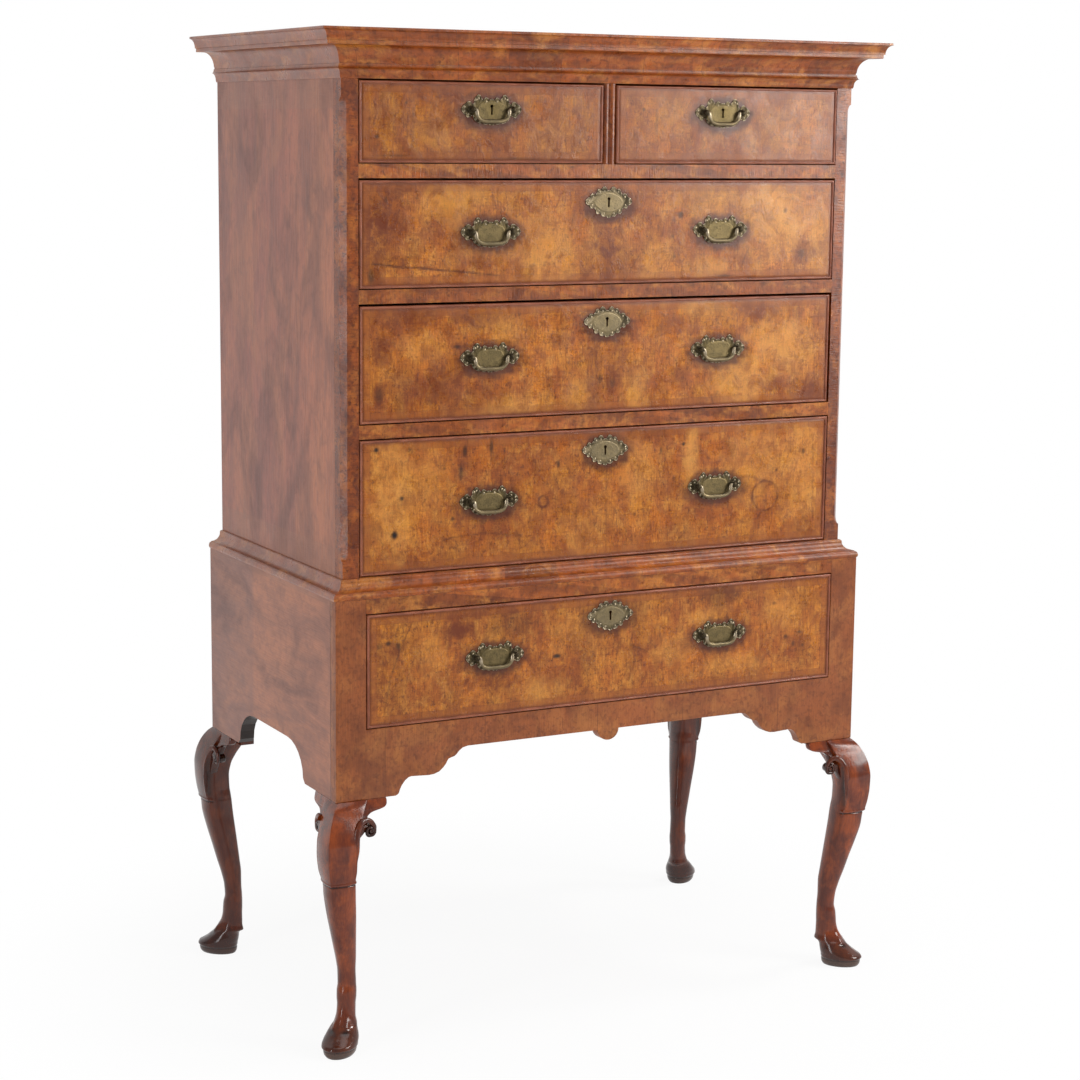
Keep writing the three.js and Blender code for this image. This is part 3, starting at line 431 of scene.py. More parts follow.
def make_piece(name, shape, material, body, stands_for=(), smooth=38.0, layers=None):
    """Puts a closed shape's points and faces into a mesh, turns it outwards, and rides it on its body."""
    points, faces = shape
    points = np.asarray(points, float)
    lists = [f for block in faces for f in (block.tolist() if isinstance(block, np.ndarray) else block)]
    if signed_volume(points, faces) < 0:
        lists = [f[::-1] for f in lists]
    mesh = bpy.data.meshes.new(name)
    mesh.from_pydata(points.tolist(), [], lists)
    mesh.update()
    mesh.shade_smooth()
    mesh.set_sharp_from_angle(angle=math.radians(smooth))
    for key, values in (layers or {}).items():
        values = np.asarray(values, np.float32)
        kind, field = ("FLOAT_VECTOR", "vector") if values.ndim == 2 else ("FLOAT", "value")
        mesh.attributes.new(key, kind, "POINT").data.foreach_set(field, values.ravel())
    mesh.materials.append(material)
    made = linked(name, mesh)
    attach(made, body)
    if stands_for:
        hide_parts(*stands_for)


def grid_faces(rows, columns, closed=False, start=0):
    """Quads between the rows and columns of a grid, its last column joined to its first if closed."""
    r = np.arange(rows - 1)[:, None]
    c = np.arange(columns if closed else columns - 1)[None, :]
    n = (c + 1) % columns
    quads = np.stack([r * columns + c, r * columns + n, (r + 1) * columns + n, (r + 1) * columns + c], -1)
    return quads.reshape(-1, 4) + start


def loft(rings, start=0):
    """A skin through closed rings, with a flat face on the first and on the last ring."""
    rows, columns = rings.shape[:2]
    last = start + (rows - 1) * columns
    caps = [list(range(start + columns - 1, start - 1, -1)), list(range(last, last + columns))]
    return rings.reshape(-1, 3), [grid_faces(rows, columns, True, start), caps]


def joined_parts(parts):
    """Several closed shapes as one list of points and faces."""
    points, faces, start = [], [], 0
    for own, blocks in parts:
        points.append(own)
        for block in blocks:
            if isinstance(block, np.ndarray):
                faces.append(block + start)
            else:
                faces.append([[i + start for i in f] for f in block])
        start += len(own)
    return np.concatenate(points), faces


def eased_box(low, high, ease):
    """A board with eased edges: a rounded rectangle in plan, drawn in a little at its top and bottom."""
    low, high = np.asarray(low, float), np.asarray(high, float)
    turns = np.radians([[180, 225, 270], [270, 315, 360], [0, 45, 90], [90, 135, 180]]).ravel()
    corner = np.repeat([[0, 0], [1, 0], [1, 1], [0, 1]], 3, 0)
    rings = []
    for inset, level in ((ease, low[2]), (ease * 0.3, low[2] + ease * 0.3), (0, low[2] + ease),
                         (0, high[2] - ease), (ease * 0.3, high[2] - ease * 0.3), (ease, high[2])):
        radius = max(ease - inset, ease * 0.2)
        least = low[:2] + inset + radius
        most = high[:2] - inset - radius
        centre = np.where(corner == 1, most, least)
        plan = centre + radius * np.stack([np.cos(turns), np.sin(turns)], 1)
        rings.append(np.column_stack([plan, np.full(len(plan), level)]))
    return loft(np.array(rings))


def eased_curve(table, where):
    """Smooth values through the rows of a table: cubic pieces whose slopes never overshoot the rows."""
    x, y = table[:, 0], table[:, 1:]
    step = np.diff(x)[:, None]
    slope = np.diff(y, axis=0) / step
    same = slope[:-1] * slope[1:] > 0
    inner = np.where(same, 2 * slope[:-1] * slope[1:] / np.where(same, slope[:-1] + slope[1:], 1), 0)
    tangent = np.vstack([slope[:1], inner, slope[-1:]])
    k = np.clip(np.searchsorted(x, where, side="right") - 1, 0, len(x) - 2)
    t = ((where - x[k]) / step[k, 0])[:, None]
    h = step[k]
    return ((1 + 2 * t) * (1 - t) ** 2 * y[k] + t * (1 - t) ** 2 * h * tangent[k]
            + t**2 * (3 - 2 * t) * y[k + 1] + t**2 * (t - 1) * h * tangent[k + 1])


def bell(x, at, width):
    """A soft hump, 1 at its middle and about a third at a width from it."""
    return np.exp(-(((x - at) / width) ** 2))


def ramp(x, begin, full):
    """0 until x reaches begin, and from there straight to 1 at full."""
    return np.clip((x - begin) / (full - begin), 0, 1)


def lengths_along(points):
    """Length along a line of points, at each of them."""
    return np.concatenate([[0], np.cumsum(np.linalg.norm(np.diff(points, axis=0), axis=1))])


def square_to(path, guide):
    """Unit directions along a path, and square to both the path and a guide."""
    along = np.gradient(path, axis=0)
    along /= np.linalg.norm(along, axis=1)[:, None]
    side = np.cross(along, guide)
    return along, side / np.linalg.norm(side, axis=1)[:, None]


def turned_rod(path, radii, sides):
    """A round bar: a circle carried square to a path, with a radius for each of the path's points."""
    along, side = square_to(path, (0.0, 1.0, 0.0))
    other = np.cross(side, along)
    turn = np.linspace(0, 2 * np.pi, sides, endpoint=False)
    circle = np.cos(turn)[None, :, None] * side[:, None] + np.sin(turn)[None, :, None] * other[:, None]
    return loft(path[:, None] + radii[:, None, None] * circle)


def turned_knob(profile, centre, sides=20):
    """A shape turned about an axis along y. A profile's row is a radius and a distance forward, in mm."""
    turn = np.linspace(0, 2 * np.pi, sides, endpoint=False)
    radius, forward = (np.array(profile) * MM).T[:, :, None]
    level = np.broadcast_to(centre[1] - forward, (len(profile), sides))
    return loft(np.stack([centre[0] + radius * np.cos(turn), level, centre[2] + radius * np.sin(turn)], -1))


# Mouldings


def quarter(start, end, hollow, steps=12):
    """A quarter of an ellipse from start to end, hollow or round."""
    a = np.linspace(0, math.pi / 2, steps + 1)
    share = np.column_stack([1 - np.cos(a), np.sin(a)] if hollow else [np.sin(a), 1 - np.cos(a)])
    return np.asarray(start) + (np.asarray(end) - np.asarray(start)) * share


def moulding(name, profile, half, front, back, stands_for):
    """A profile of reach and height carried round three sides and mitred at the corners.

    Each point stands out from the faces by its reach, less a small waver of old hand planing.
    """
    profile = np.asarray(profile) * MM
    reach, level = profile[:, 0], profile[:, 1]
    depth = back - front
    stations = []
    runs = []
    for t in np.linspace(0, 1, 60)[:-1]:
        stations.append((-half - reach, back + (front - reach - back) * t))
        runs.append(t * depth)
    for t in np.linspace(0, 1, 130):
        stations.append((-half - reach + (2 * half + 2 * reach) * t, front - reach))
        runs.append(depth + t * 2 * half)
    for t in np.linspace(0, 1, 60)[1:]:
        stations.append((half + reach, (front - reach) + (depth + reach) * t))
        runs.append(depth + 2 * half + t * depth)
    x, y = np.moveaxis(np.array(stations), 1, 0)
    runs = np.array(runs)
    waver = np.interp(runs, np.linspace(0, 3, 70), rng.uniform(0, 0.35 * MM, 70))[:, None]
    outer = reach > 2 * MM
    x = x - np.sign(x) * np.where(outer & (np.abs(x) > half + 1e-4), waver, 0)
    y = y + np.where(outer & (y < front), waver, 0)
    rings = np.stack([x, y, np.broadcast_to(level, x.shape)], -1)
    run = np.repeat(runs, len(profile))
    up = np.tile(lengths_along(profile), len(runs))
    layers = {"run_place": np.column_stack([run, np.zeros(len(run)), up])}
    material = WOODS["mouldings"]
    make_piece(name, loft(rings), material, CASE, stands_for, 30.0, layers)


# Drawers

# Dark clouds, light leaves and marks on each front, in mm: x and z from its middle, half sizes and strength
CLOUDS = {
    "short_left": [
        (-62, 42, 26, 18, .85), (-117, 42, 19, 16, .75), (-143, 32, 14, 14, .6), (-124, -5, 5, 28, .5),
        (26, -36, 34, 20, .6), (20, -42, 14, 14, .4), (147, -22, 5, 26, .4), (-192, -32, 20, 18, .55),
        (-195, 10, 12, 50, .4), (0, -60, 200, 8, .35), (0, 62, 200, 8, .4), (0, 0, 240, 90, .5),
    ],
    "short_right": [
        (-182, 0, 18, 60, .5), (-141, 0, 5, 28, .35), (70, 44, 66, 16, .5), (-40, -10, 34, 14, .45),
        (-4, -28, 5, 24, .45), (122, -20, 5, 18, .35), (175, 10, 20, 40, .3), (0, 0, 240, 90, .34),
    ],
    "upper": [
        (-404, 28, 34, 58, .95), (-422, 0, 20, 88, .75), (-425, 20, 14, 76, .6), (-366, 74, 64, 12, .5),
        (-404, -22, 22, 22, .7), (-54, 56, 20, 32, .6), (58, 54, 28, 26, .5), (0, 20, 34, 12, .7),
        (0, 0, 26, 16, .75), (0, -26, 17, 22, 1.05), (0, -58, 11, 24, 1.05), (-42, -54, 18, 24, .6),
        (34, -54, 26, 22, .55), (384, -38, 20, 20, .85), (118, 0, 22, 12, .45), (134, -30, 14, 22, .45),
        (270, -46, 18, 12, .5), (-232, -46, 34, 10, .45), (-290, 6, 60, 30, .3), (412, 30, 18, 14, .3),
        (228, -76, 22, 5, .5), (200, 72, 60, 8, .3),
    ],
    "middle": [
        (-413, -48, 10, 22, 1.1), (-408, 26, 15, 24, .75), (-368, 78, 66, 24, .65), (-242, 70, 42, 12, .7),
        (-271, 25, 13, 7, .9), (-294, -36, 34, 46, .75), (-354, -42, 40, 34, .5), (-236, -62, 44, 26, .5),
        (-22, -26, 16, 58, .6), (14, -40, 14, 24, .75), (20, 10, 18, 40, .45), (-80, 28, 18, 14, .5),
        (144, -34, 15, 14, .5), (410, -72, 30, 20, .75), (300, 70, 34, 14, .6), (122, 48, 36, 14, .45),
        (-110, -86, 90, 10, .3), (330, -60, 50, 12, .35),
    ],
    "lower": [
        (-264, 66, 12, 24, .55), (-205, 88, 10, 20, .4), (-200, -56, 56, 12, .35), (-150, 0, 100, 90, .22),
        (-60, -30, 50, 70, .2), (6, 0, 5, 90, .3), (160, -30, 50, 70, .2), (0, 96, 120, 12, .4),
        (330, -34, 44, 40, .25), (210, -50, 8, 30, .45), (-330, -90, 90, 12, .3), (400, -84, 40, 14, .4),
    ],
    "stand": [
        (-284, 54, 36, 14, .95), (-240, 78, 90, 8, .7), (-218, -37, 58, 13, .8), (-400, 36, 24, 16, .7),
        (-411, -10, 26, 70, .5), (-60, -46, 16, 30, .3), (60, 30, 14, 44, .45), (380, -18, 28, 12, .6),
        (222, 74, 50, 14, .5), (0, 76, 70, 12, .5), (400, 50, 30, 26, .35), (0, 0, 560, 120, .2),
    ],
}
LIGHTS = {
    "short_left": [(-90, -20, 30, 26, .5), (110, -24, 34, 26, .3), (-20, 10, 30, 20, .3)],
    "short_right": [(90, -10, 40, 34, .35), (-110, 20, 30, 34, .3)],
    "upper": [
        (-290, 50, 60, 26, .5), (-250, -8, 40, 30, .4), (90, -46, 30, 30, .5), (330, 20, 70, 60, .7),
        (-120, -30, 60, 50, .5), (200, 50, 60, 26, .5), (190, -60, 34, 18, .5), (420, -10, 24, 60, .5),
    ],
    "middle": [
        (-180, -76, 60, 16, .6), (-52, -66, 30, 26, .45), (261, -40, 54, 44, .75), (60, -60, 24, 40, .5),
        (350, 10, 60, 50, .6), (-330, 30, 40, 20, .3), (190, 80, 50, 14, .5), (-190, 50, 30, 26, .3),
    ],
    "lower": [
        (-390, 20, 32, 100, .65), (-330, 40, 40, 50, .3), (171, 60, 14, 60, .7), (300, 40, 60, 60, .4),
        (400, 20, 30, 90, .5), (-40, -70, 26, 40, .35), (60, 40, 30, 60, .3),
    ],
    "stand": [
        (-124, -56, 40, 18, .5), (-330, 10, 24, 40, .3), (130, -10, 40, 24, .4), (190, 40, 30, 14, .5),
        (340, 30, 34, 30, .4), (250, -50, 70, 14, .4), (-60, 40, 50, 16, .35),
    ],
}
MARKS = {
    "short_left": [
        (-187, -23, 4, 4, .7), (-160, -52, 40, 1.4, .5), (60, -56, 50, 1.4, .45), (-136, 30, 3, 3, .6),
    ],
    "short_right": [
        (-166, 25, 3, 3, .7), (-141, 0, 2.5, 26, .35), (184, 14, 8, 14, .25), (22, -20, 2.4, 2.4, .4),
    ],
    "upper": [
        (140, 27, 5, 6, .8), (349, 33, 4, 4, .6), (-428, -66, 6, 12, .6), (228, -76, 14, 2, .6),
        (-402, 56, 3, 6, .5), (124, -8, 3, 4, .5), (128, -42, 3, 4, .5), (384, -40, 8, 8, .4),
    ],
    "middle": [
        (-276, 25, 6, 3, .7), (-413, -48, 7, 12, .5), (395, -20, 2, 3, .4), (-10, -36, 4, 8, .45),
        (14, -44, 5, 8, .45),
    ],
    "lower": [
        (-419, 94, 4, 4, 1.0), (-387, -46, 6, 7, 1.0), (-374, 13, 4, 4, .9), (-261, 84, 4, 10, .75),
        (-268, 50, 4, 14, .65), (-213, 88, 3.5, 14, .7), (-88, 54, 3.5, 7, .8), (-283, -26, 3.5, 4, .7),
        (-298, 58, 3, 3, .6), (154, 75, 3, 3, .9), (400, 50, 4, 5, .7), (-360, 92, 3, 3, .6),
        (110, 66, 2, 6, .6), (60, -40, 3, 3, .6), (-330, 40, 2.5, 2.5, .6), (215, -30, 3, 5, .5),
        (345, 20, 3, 3, .5),
    ],
    "stand": [
        (-101, -5, 8, 4, .95), (-190, 57, 52, 20, .34), (222, 72, 44, 20, .34), (356, -12, 4, 4, .7),
        (372, -26, 3, 5, .6), (384, -6, 4, 3, .6), (392, -30, 3, 3, .6), (-410, 44, 5, 4, .8),
        (-392, 38, 4, 6, .7), (-425, 40, 4, 6, .5), (330, 50, 4, 3, .5), (-60, 60, 3, 2, .4),
    ],
}
# Cracks and scratches as a start, an end and a strength, in mm
SCRATCHES = {
    "upper": [
        (-426, -46, -300, -58, .9), (-300, -58, -205, -68, .75), (-205, 72, -205, -68, .35),
        (60, -84, 300, -82, .5), (276, -30, 262, -60, .5), (30, -84, 60, -40, .4),
    ],
    "middle": [(-217, 10, -216, -80, .3), (190, -40, 215, -90, .35), (-330, -20, -300, -70, .4)],
    "lower": [
        (-300, -60, -230, -52, .5), (-230, -52, -156, -62, .5), (4, 60, 4, -90, .35),
        (420, 60, 424, -70, .4),
    ],
    "stand": [
        (-368, 74, -388, 34, .6), (-388, 34, -406, -14, .65), (-406, -14, -417, -72, .6),
        (50, 36, 40, 3, .65), (40, 3, 73, -12, .6), (384, 70, 404, 30, .5), (-20, 20, -44, -40, .35),
        (20, 10, 6, -50, .3),
    ],
    "short_left": [(-124, 22, -124, -33, .45), (147, 0, 150, -45, .4)],
    "short_right": [(-141, 26, -142, -26, .5), (122, -4, 124, -36, .35)],
}
# Rings left by glasses as a middle, a radius and a strength, in mm
RINGS = {
    "lower": [
        (322, -24, 26, .8), (334, -22, 17, .6), (285, -28, 40, .45), (-116, -8, 9, .9),
        (-190, 24, 16, .45),
    ],
}


def soft_spots(u, v, spots, waver):
    """The strongest of some soft ellipses, each fading from its middle, with waver in its outline."""
    total = np.zeros_like(u)
    for x, z, rx, rz, strength in spots:
        reach = ((u - x * MM) / (rx * MM)) ** 2 + ((v - z * MM) / (rz * MM)) ** 2
        total = np.maximum(total, strength * np.exp(-0.7 * (reach * waver) ** 2))
    return total


def uneven(u, v, cell, seed):
    """Smooth random field between about 0.4 and 1.6: a few waves of random direction added up."""
    own = np.random.default_rng(seed)
    total = np.zeros_like(u)
    for k in range(7):
        turn, phase = own.uniform(0, 2 * np.pi, 2)
        wave = 2 * np.pi / (cell * MM * (0.5 + own.uniform(0, 1.2)))
        total += np.sin(wave * (u * np.cos(turn) + v * np.sin(turn)) + phase) / (1 + 0.4 * k)
    return 1 + 0.6 * total / 2.6


def middle_of(name):
    """Middle of a node's box."""
    low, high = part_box(name)
    return (low + high) / 2


def plate_names(word):
    """A drawer's handle plates, and the plate with its keyhole: the handle plate itself on a short drawer."""
    if word.startswith("short"):
        return [f"handle_plate_{word}"], f"handle_plate_{word}"
    return [f"handle_plate_{word}_{side}" for side in SIDES], f"escutcheon_{word}"


# A keyhole: height and radius of its eye, half the width of its slot and the slot's foot, in mm
EYE, EYE_RADIUS, SLOT, SLOT_FOOT = 5.3, 2.7, 1.5, -8.0


def keyhole_half():
    """Right half of a keyhole from bottom to top: a straight slot under a round eye, in metres."""
    turn = np.linspace(-math.acos(SLOT / EYE_RADIUS), math.pi / 2, 8)
    arc = np.column_stack([EYE_RADIUS * np.cos(turn), EYE + EYE_RADIUS * np.sin(turn)])
    return np.vstack([[0, SLOT_FOOT], [SLOT, SLOT_FOOT], arc]) * MM


# How far old fronts have shrunk from their openings, in mm: left, right, bottom and top
SHRUNK = {
    "short_left": (0.0, 0.3, 0.0, 1.0), "short_right": (0.0, 0.2, 0.0, 1.2), "upper": (0.2, 0.8, 0.2, 1.7),
    "middle": (0.4, 3.4, 0.4, 2.4), "lower": (0.0, 1.0, 0.2, 0.9), "stand": (0.0, 0.5, 0.2, 0.7),
}


def front_box(word):
    """Corners of a drawer's front as it has shrunk."""
    low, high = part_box(f"drawer_front_{word}")
    left, right, bottom, top = SHRUNK[word]
    return low + Vector((left, 0, bottom)) * MM, high - Vector((right, 0, top)) * MM


def front_lines(half, bead, at, reach):
    """Grid lines across a front: close at the bead, even inside it, and closest in reach of the keyhole."""
    edge = np.array([0, 0.25, 0.7, 1.3, 2.0, 2.7, 3.3, 3.75, 4.0, 4.6]) * bead / 4.0
    inner = np.arange(-half + 6.5 * MM, half - 6.4 * MM, 2.1 * MM)
    inner = inner[np.abs(inner - at) > reach + 0.6 * MM]
    fine = np.arange(at - reach, at + reach + 0.1 * MM, 0.45 * MM)
    return np.unique(np.concatenate([edge - half, half - edge, inner, fine]))


def front_paint(word, u, v, middle, index):
    """Cloud, light, stain and mark on a front: soft spots, halos of dirt round the brasses, and cracks."""
    stain = np.zeros_like(u)
    darkening = uneven(u, v, 22, 77 + index)
    plates, key_plate = plate_names(word)
    for name in dict.fromkeys((*plates, key_plate)):
        place = middle_of(name)
        wide, tall = (54, 27) if name.startswith("handle") else (44, 27)
        aside, over = u - place.x + middle.x, v - place.z + middle.z + 4 * MM
        far = (aside / (wide * MM)) ** 2 + (over / (tall * MM)) ** 2
        stain = np.maximum(stain, np.clip(1.85 - far * (0.65 + 0.35 * darkening), 0, 1) ** 1.3)
    waver = uneven(u, v, 34, 11 + index)
    cloud = soft_spots(u, v, CLOUDS[word], waver)
    light = soft_spots(u, v, LIGHTS[word], waver)
    mark_and_hole_shade = soft_spots(u, v, MARKS[word], 1.2)
    for x0, z0, x1, z1, strength in SCRATCHES[word]:
        begin, end = np.array([x0, z0]) * MM, np.array([x1, z1]) * MM
        way = end - begin
        t = np.clip(((u - begin[0]) * way[0] + (v - begin[1]) * way[1]) / (way @ way), 0, 1)
        bend = 3 * MM * np.sin(5 * t) * (uneven(u, v, 60, 5) - 1)
        gap = np.hypot(u - begin[0] - way[0] * t, v - begin[1] - way[1] * t - bend)
        crack = bell(gap, 0, 1.5 * MM) * np.clip(0.6 + 0.4 * darkening, 0.3, 1)
        cloud = np.maximum(cloud, strength * crack)
        mark_and_hole_shade = np.maximum(mark_and_hole_shade, 0.6 * strength * crack)
    for x, z, radius, strength in RINGS.get(word, []):
        gap = np.abs(np.hypot(u - x * MM, v - z * MM) - radius * MM - 1.2 * MM * (darkening - 1))
        ring = bell(gap, 0, 2.4 * MM) * np.clip(darkening, 0.3, 1)
        cloud = np.maximum(cloud, strength * ring)
        mark_and_hole_shade = np.maximum(mark_and_hole_shade, 0.35 * strength * ring)
    return {"cloud": cloud, "light": light, "stain": stain, "mark_and_hole_shade": mark_and_hole_shade}


def drawer_front(word, sizes, material, index):
    """A drawer front: a grid over its width and height, its face lowered inside a half round bead.

    Face height is the bead's half circle near the edge, then flat with the slow waves of old veneer,
    and a keyhole is pushed in where the lock is. The rim goes straight back to a flat rear face.
    """
    low, high = front_box(word)
    bead, rise = sizes.bead_width, sizes.bead_height
    middle = (low + high) / 2
    half_u, half_v = (high.x - low.x) / 2, (high.z - low.z) / 2
    key = middle_of(plate_names(word)[1]) - middle
    u, v = np.meshgrid(front_lines(half_u, bead, key.x, 3.6 * MM), front_lines(half_v, bead, key.z, 9.4 * MM))
    edge = np.minimum(half_u - np.abs(u), half_v - np.abs(v))
    round_share = np.clip(1 - ((edge - bead / 2) / (bead / 2)) ** 2, 0, 1)
    lift = np.where((edge > 1e-7) & (edge < bead), rise * np.sqrt(round_share), 0)
    groove = 0.5 * MM * bell(edge, bead + 0.3 * MM, 0.5 * MM)
    inside = ramp(edge, bead, bead + 10 * MM)
    wave = 0.16 * MM * (uneven(u, v, 170, 31 + index) - 1) * inside
    # The keyhole is a little wider than the one in its plate, and 12 mm deep
    ku, kv = np.abs(u - key.x) / MM, (v - key.z) / MM
    in_slot = (ku < SLOT + 0.05) & (kv > SLOT_FOOT - 0.1) & (kv < EYE)
    hole = in_slot | (ku**2 + (kv - EYE) ** 2 < (EYE_RADIUS + 0.1) ** 2)
    face = low.y + rise
    y = np.where(hole, face + 12 * MM, face - lift + groove - wave)
    grid = np.stack([middle.x + u, y, middle.z + v], -1).reshape(-1, 3)
    # The rim: the outer loop of the grid, again at the rear
    rows, columns = u.shape
    top = (rows - 1) * columns
    loop = np.concatenate([
        np.arange(columns), np.arange(1, rows) * columns + columns - 1,
        top + np.arange(columns - 2, -1, -1), np.arange(rows - 2, 0, -1) * columns])
    rear = grid[loop]
    rear[:, 1] = high.y
    points = np.concatenate([grid, rear])
    start, n = len(grid), len(loop)
    k = np.arange(n)
    rim = np.stack([loop, start + k, start + (k + 1) % n, loop[(k + 1) % n]], -1)
    faces = [grid_faces(rows, columns), rim, [list(range(start, start + n))]]
    paint = front_paint(word, u, v, middle, index)
    # The keyhole's floor is painted nearly black, as painted shade inside the hole
    paint["mark_and_hole_shade"] = np.where(hole, 1.0, paint["mark_and_hole_shade"])
    seed = np.full_like(u, 0.37 * index + 0.11)
    paint["front_place"] = np.stack([u, v, seed], -1)
    paint["front_half"] = np.broadcast_to([half_u, half_v, 0.0], (rows, columns, 3))
    flat = ((key, values.reshape(start, *values.shape[2:])) for key, values in paint.items())
    layers = {key: np.concatenate([values, values[loop]]) for key, values in flat}
    name = f"drawer_veneer_{word}"
    stands_for = [f"drawer_front_{word}"]
    make_piece(name, (points, faces), material, f"drawer_{word}", stands_for, 32.0, layers)


def dovetails(word, material):
    """Oak tails of the drawer sides let into the ends of the front: trapezoids, wide end forwards.

    They stand about 42 mm apart, reach to 7 mm behind the face, and are sunk 1.2 mm into the front's end.
    """
    low, high = front_box(word)
    box_low, box_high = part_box(f"drawer_box_{word}")
    count = max(3, round((box_high.z - box_low.z) / 0.042))
    pitch = (box_high.z - box_low.z - 6 * MM) / count
    parts = []
    for side in SIDES.values():
        face = high.x if side > 0 else low.x
        for k in range(count):
            centre = box_low.z + 3 * MM + (k + 0.5) * pitch
            wide, narrow = pitch * 0.38, pitch * 0.27
            rear, tip = high.y, low.y + 7 * MM
            plan = [(rear, -narrow), (rear, narrow), (tip, wide), (tip, -wide)]
            ends = (face - side * 1.2 * MM, face + side * 0.15 * MM)
            parts.append(loft(np.array([[[x, y, centre + z] for y, z in plan] for x in ends])))
    make_piece(f"dovetails_{word}", joined_parts(parts), material, f"drawer_{word}", (), 20.0)


def drawer_lock(word, material):
    """An iron lock on the back of the front: a back plate, an eased case, a bolt and four nails."""
    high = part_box(f"drawer_front_{word}")[1]
    key = middle_of(plate_names(word)[1])
    back = high.y + 0.2 * MM
    # The lock reaches 24 mm over the keyhole, or to 10 mm under the front's top
    top = min(key.z + 24 * MM, high.z - 10 * MM)
    parts = []
    # Half the width, then the near, far, lower and upper faces from the lock's top, and the ease, in mm
    for wide, near, far, foot, head, ease in (
            (34, 0, 2, -46, 0, 0.8), (24, 1, 9, -40, -4, 1.5), (8, 2, 7, -6, 1, 0.8)):
        low = (key.x - wide * MM, back + near * MM, top + foot * MM)
        parts.append(eased_box(low, (key.x + wide * MM, back + far * MM, top + head * MM), ease * MM))
    nail = [(0.5, -1.6), (2.4, -1.9), (2.2, -2.6), (0.6, -3.1)]
    for dx in (-29, 29):
        for dz in (-41, -5):
            parts.append(turned_knob(nail, (key.x + dx * MM, back, top + dz * MM), 10))
    make_piece(f"lock_{word}", joined_parts(parts), material, f"drawer_{word}", (), 35.0)


# Brasses

# Points along each edge between two cusps of a plate
LOBE_STEPS = 7
# Right half of each plate from top to bottom: x and z as shares of the half sizes, and how far the edge to
# the next point bows out as a share of its length
PLATE_LOBES = [
    (0.0, 0.7, 0.1), (0.08, 0.62, 0.42), (0.28, 0.61, 0.0), (0.34, 0.8, 0.4), (0.52, 0.84, 0.12),
    (0.57, 0.5, -0.12), (0.64, 0.34, 0.36), (0.86, 0.38, 0.12), (1.0, 0.02, 0.12), (0.87, -0.34, 0.32),
    (0.7, -0.47, 0.15), (0.64, -0.38, -0.1), (0.6, -0.54, 0.12), (0.5, -0.8, 0.12), (0.3, -0.91, 0.16),
    (0.1, -0.93, 0.3), (0.0, -1.0, 0.0),
]
ESCUTCHEON_LOBES = [
    (0.0, 0.74, 0.0), (0.06, 0.76, 0.46), (0.33, 0.78, 0.42), (0.5, 0.64, 0.1), (0.57, 0.46, 0.36),
    (0.8, 0.34, 0.14), (1.0, 0.02, 0.14), (0.82, -0.22, 0.36), (0.62, -0.34, 0.1), (0.56, -0.5, 0.4),
    (0.36, -0.7, 0.26), (0.1, -0.88, 0.2), (0.0, -1.0, 0.0),
]


def field_half(half_width, half_height, rise, power):
    """Right half of a plate's raised middle, from top to bottom: a superellipse, lifted by rise."""
    turn = np.linspace(math.pi / 2, -math.pi / 2, 15)
    c, s = np.cos(turn), np.sin(turn)
    x = half_width * np.abs(c) ** (2 / power)
    z = rise + half_height * np.sign(s) * np.abs(s) ** (2 / power)
    x[0] = x[-1] = 0.0
    return np.column_stack([x, z])


def lobed_half(lobes, half_width, half_height):
    """Bowed edges between cusps: each point is on the chord, moved out by a parabola over the chord."""
    rows = np.array(lobes)
    corner = rows[:, :2] * [half_width, half_height]
    t = np.linspace(0, 1, LOBE_STEPS, endpoint=False)[:, None]
    points = []
    for a, b, bow in zip(corner[:-1], corner[1:], rows[:-1, 2]):
        way = b - a
        out = np.array([-way[1], way[0]])
        points.append(a + way * t + out * bow * 4 * t * (1 - t))
    points.append(corner[-1:])
    half = np.concatenate(points)
    half[0, 0] = half[-1, 0] = 0.0
    half[1:-1, 0] = np.maximum(half[1:-1, 0], 0.05 * MM)
    return half


def whole_loop(half):
    """A closed loop from its right half, whose first column is x."""
    mirror = [-1, 1] if half.shape[1] == 2 else [1]
    return np.vstack([half, (half[1:-1] * mirror)[::-1]])


def inset_loops(half, centre, steps):
    """The loop of a half outline moved inwards and outwards from the wood, one ring for each step in mm."""
    outline = whole_loop(half)
    way = np.roll(outline, -1, 0) - np.roll(outline, 1, 0)
    inward = np.column_stack([way[:, 1], -way[:, 0]])
    inward /= np.linalg.norm(inward, axis=1)[:, None]
    rings = []
    for inset, lift in steps:
        loop = outline + inward * inset * MM
        level = np.full(len(loop), -lift * MM)
        rings.append(np.column_stack([centre.x + loop[:, 0], level, centre.z + loop[:, 1]]))
    return rings


def two_halves(outer, h, inner, g, turned=False):
    """Two faces that fill the space between an outer loop and an inner one, split down the middle.

    The loops' first points are outer and inner, and their right halves have h and g points.
    """
    n, m = 2 * h - 2, 2 * g - 2
    right = [outer + k for k in range(h)] + [inner + k for k in range(g - 1, -1, -1)]
    left = [outer + k % n for k in range(h - 1, n + 1)] + [inner + k % m for k in range(m, g - 2, -1)]
    return [right[::-1], left[::-1]] if turned else [right, left]


# A plate's rim from its back to the sunk ground: inset and height in mm, then how worn and lightened as
# painted highlight, and how dark with dirt and painted shade it is
RIM_ROWS = np.array([
    [0.0, 0.0, 0.0, 0.8], [0.0, 0.6, 0.3, 0.4], [0.4, 1.05, 0.8, 0.0], [0.75, 1.05, 0.7, 0.0],
    [1.15, 0.85, 0.4, 0.2], [1.4, 0.8, 0.2, 0.3],
])


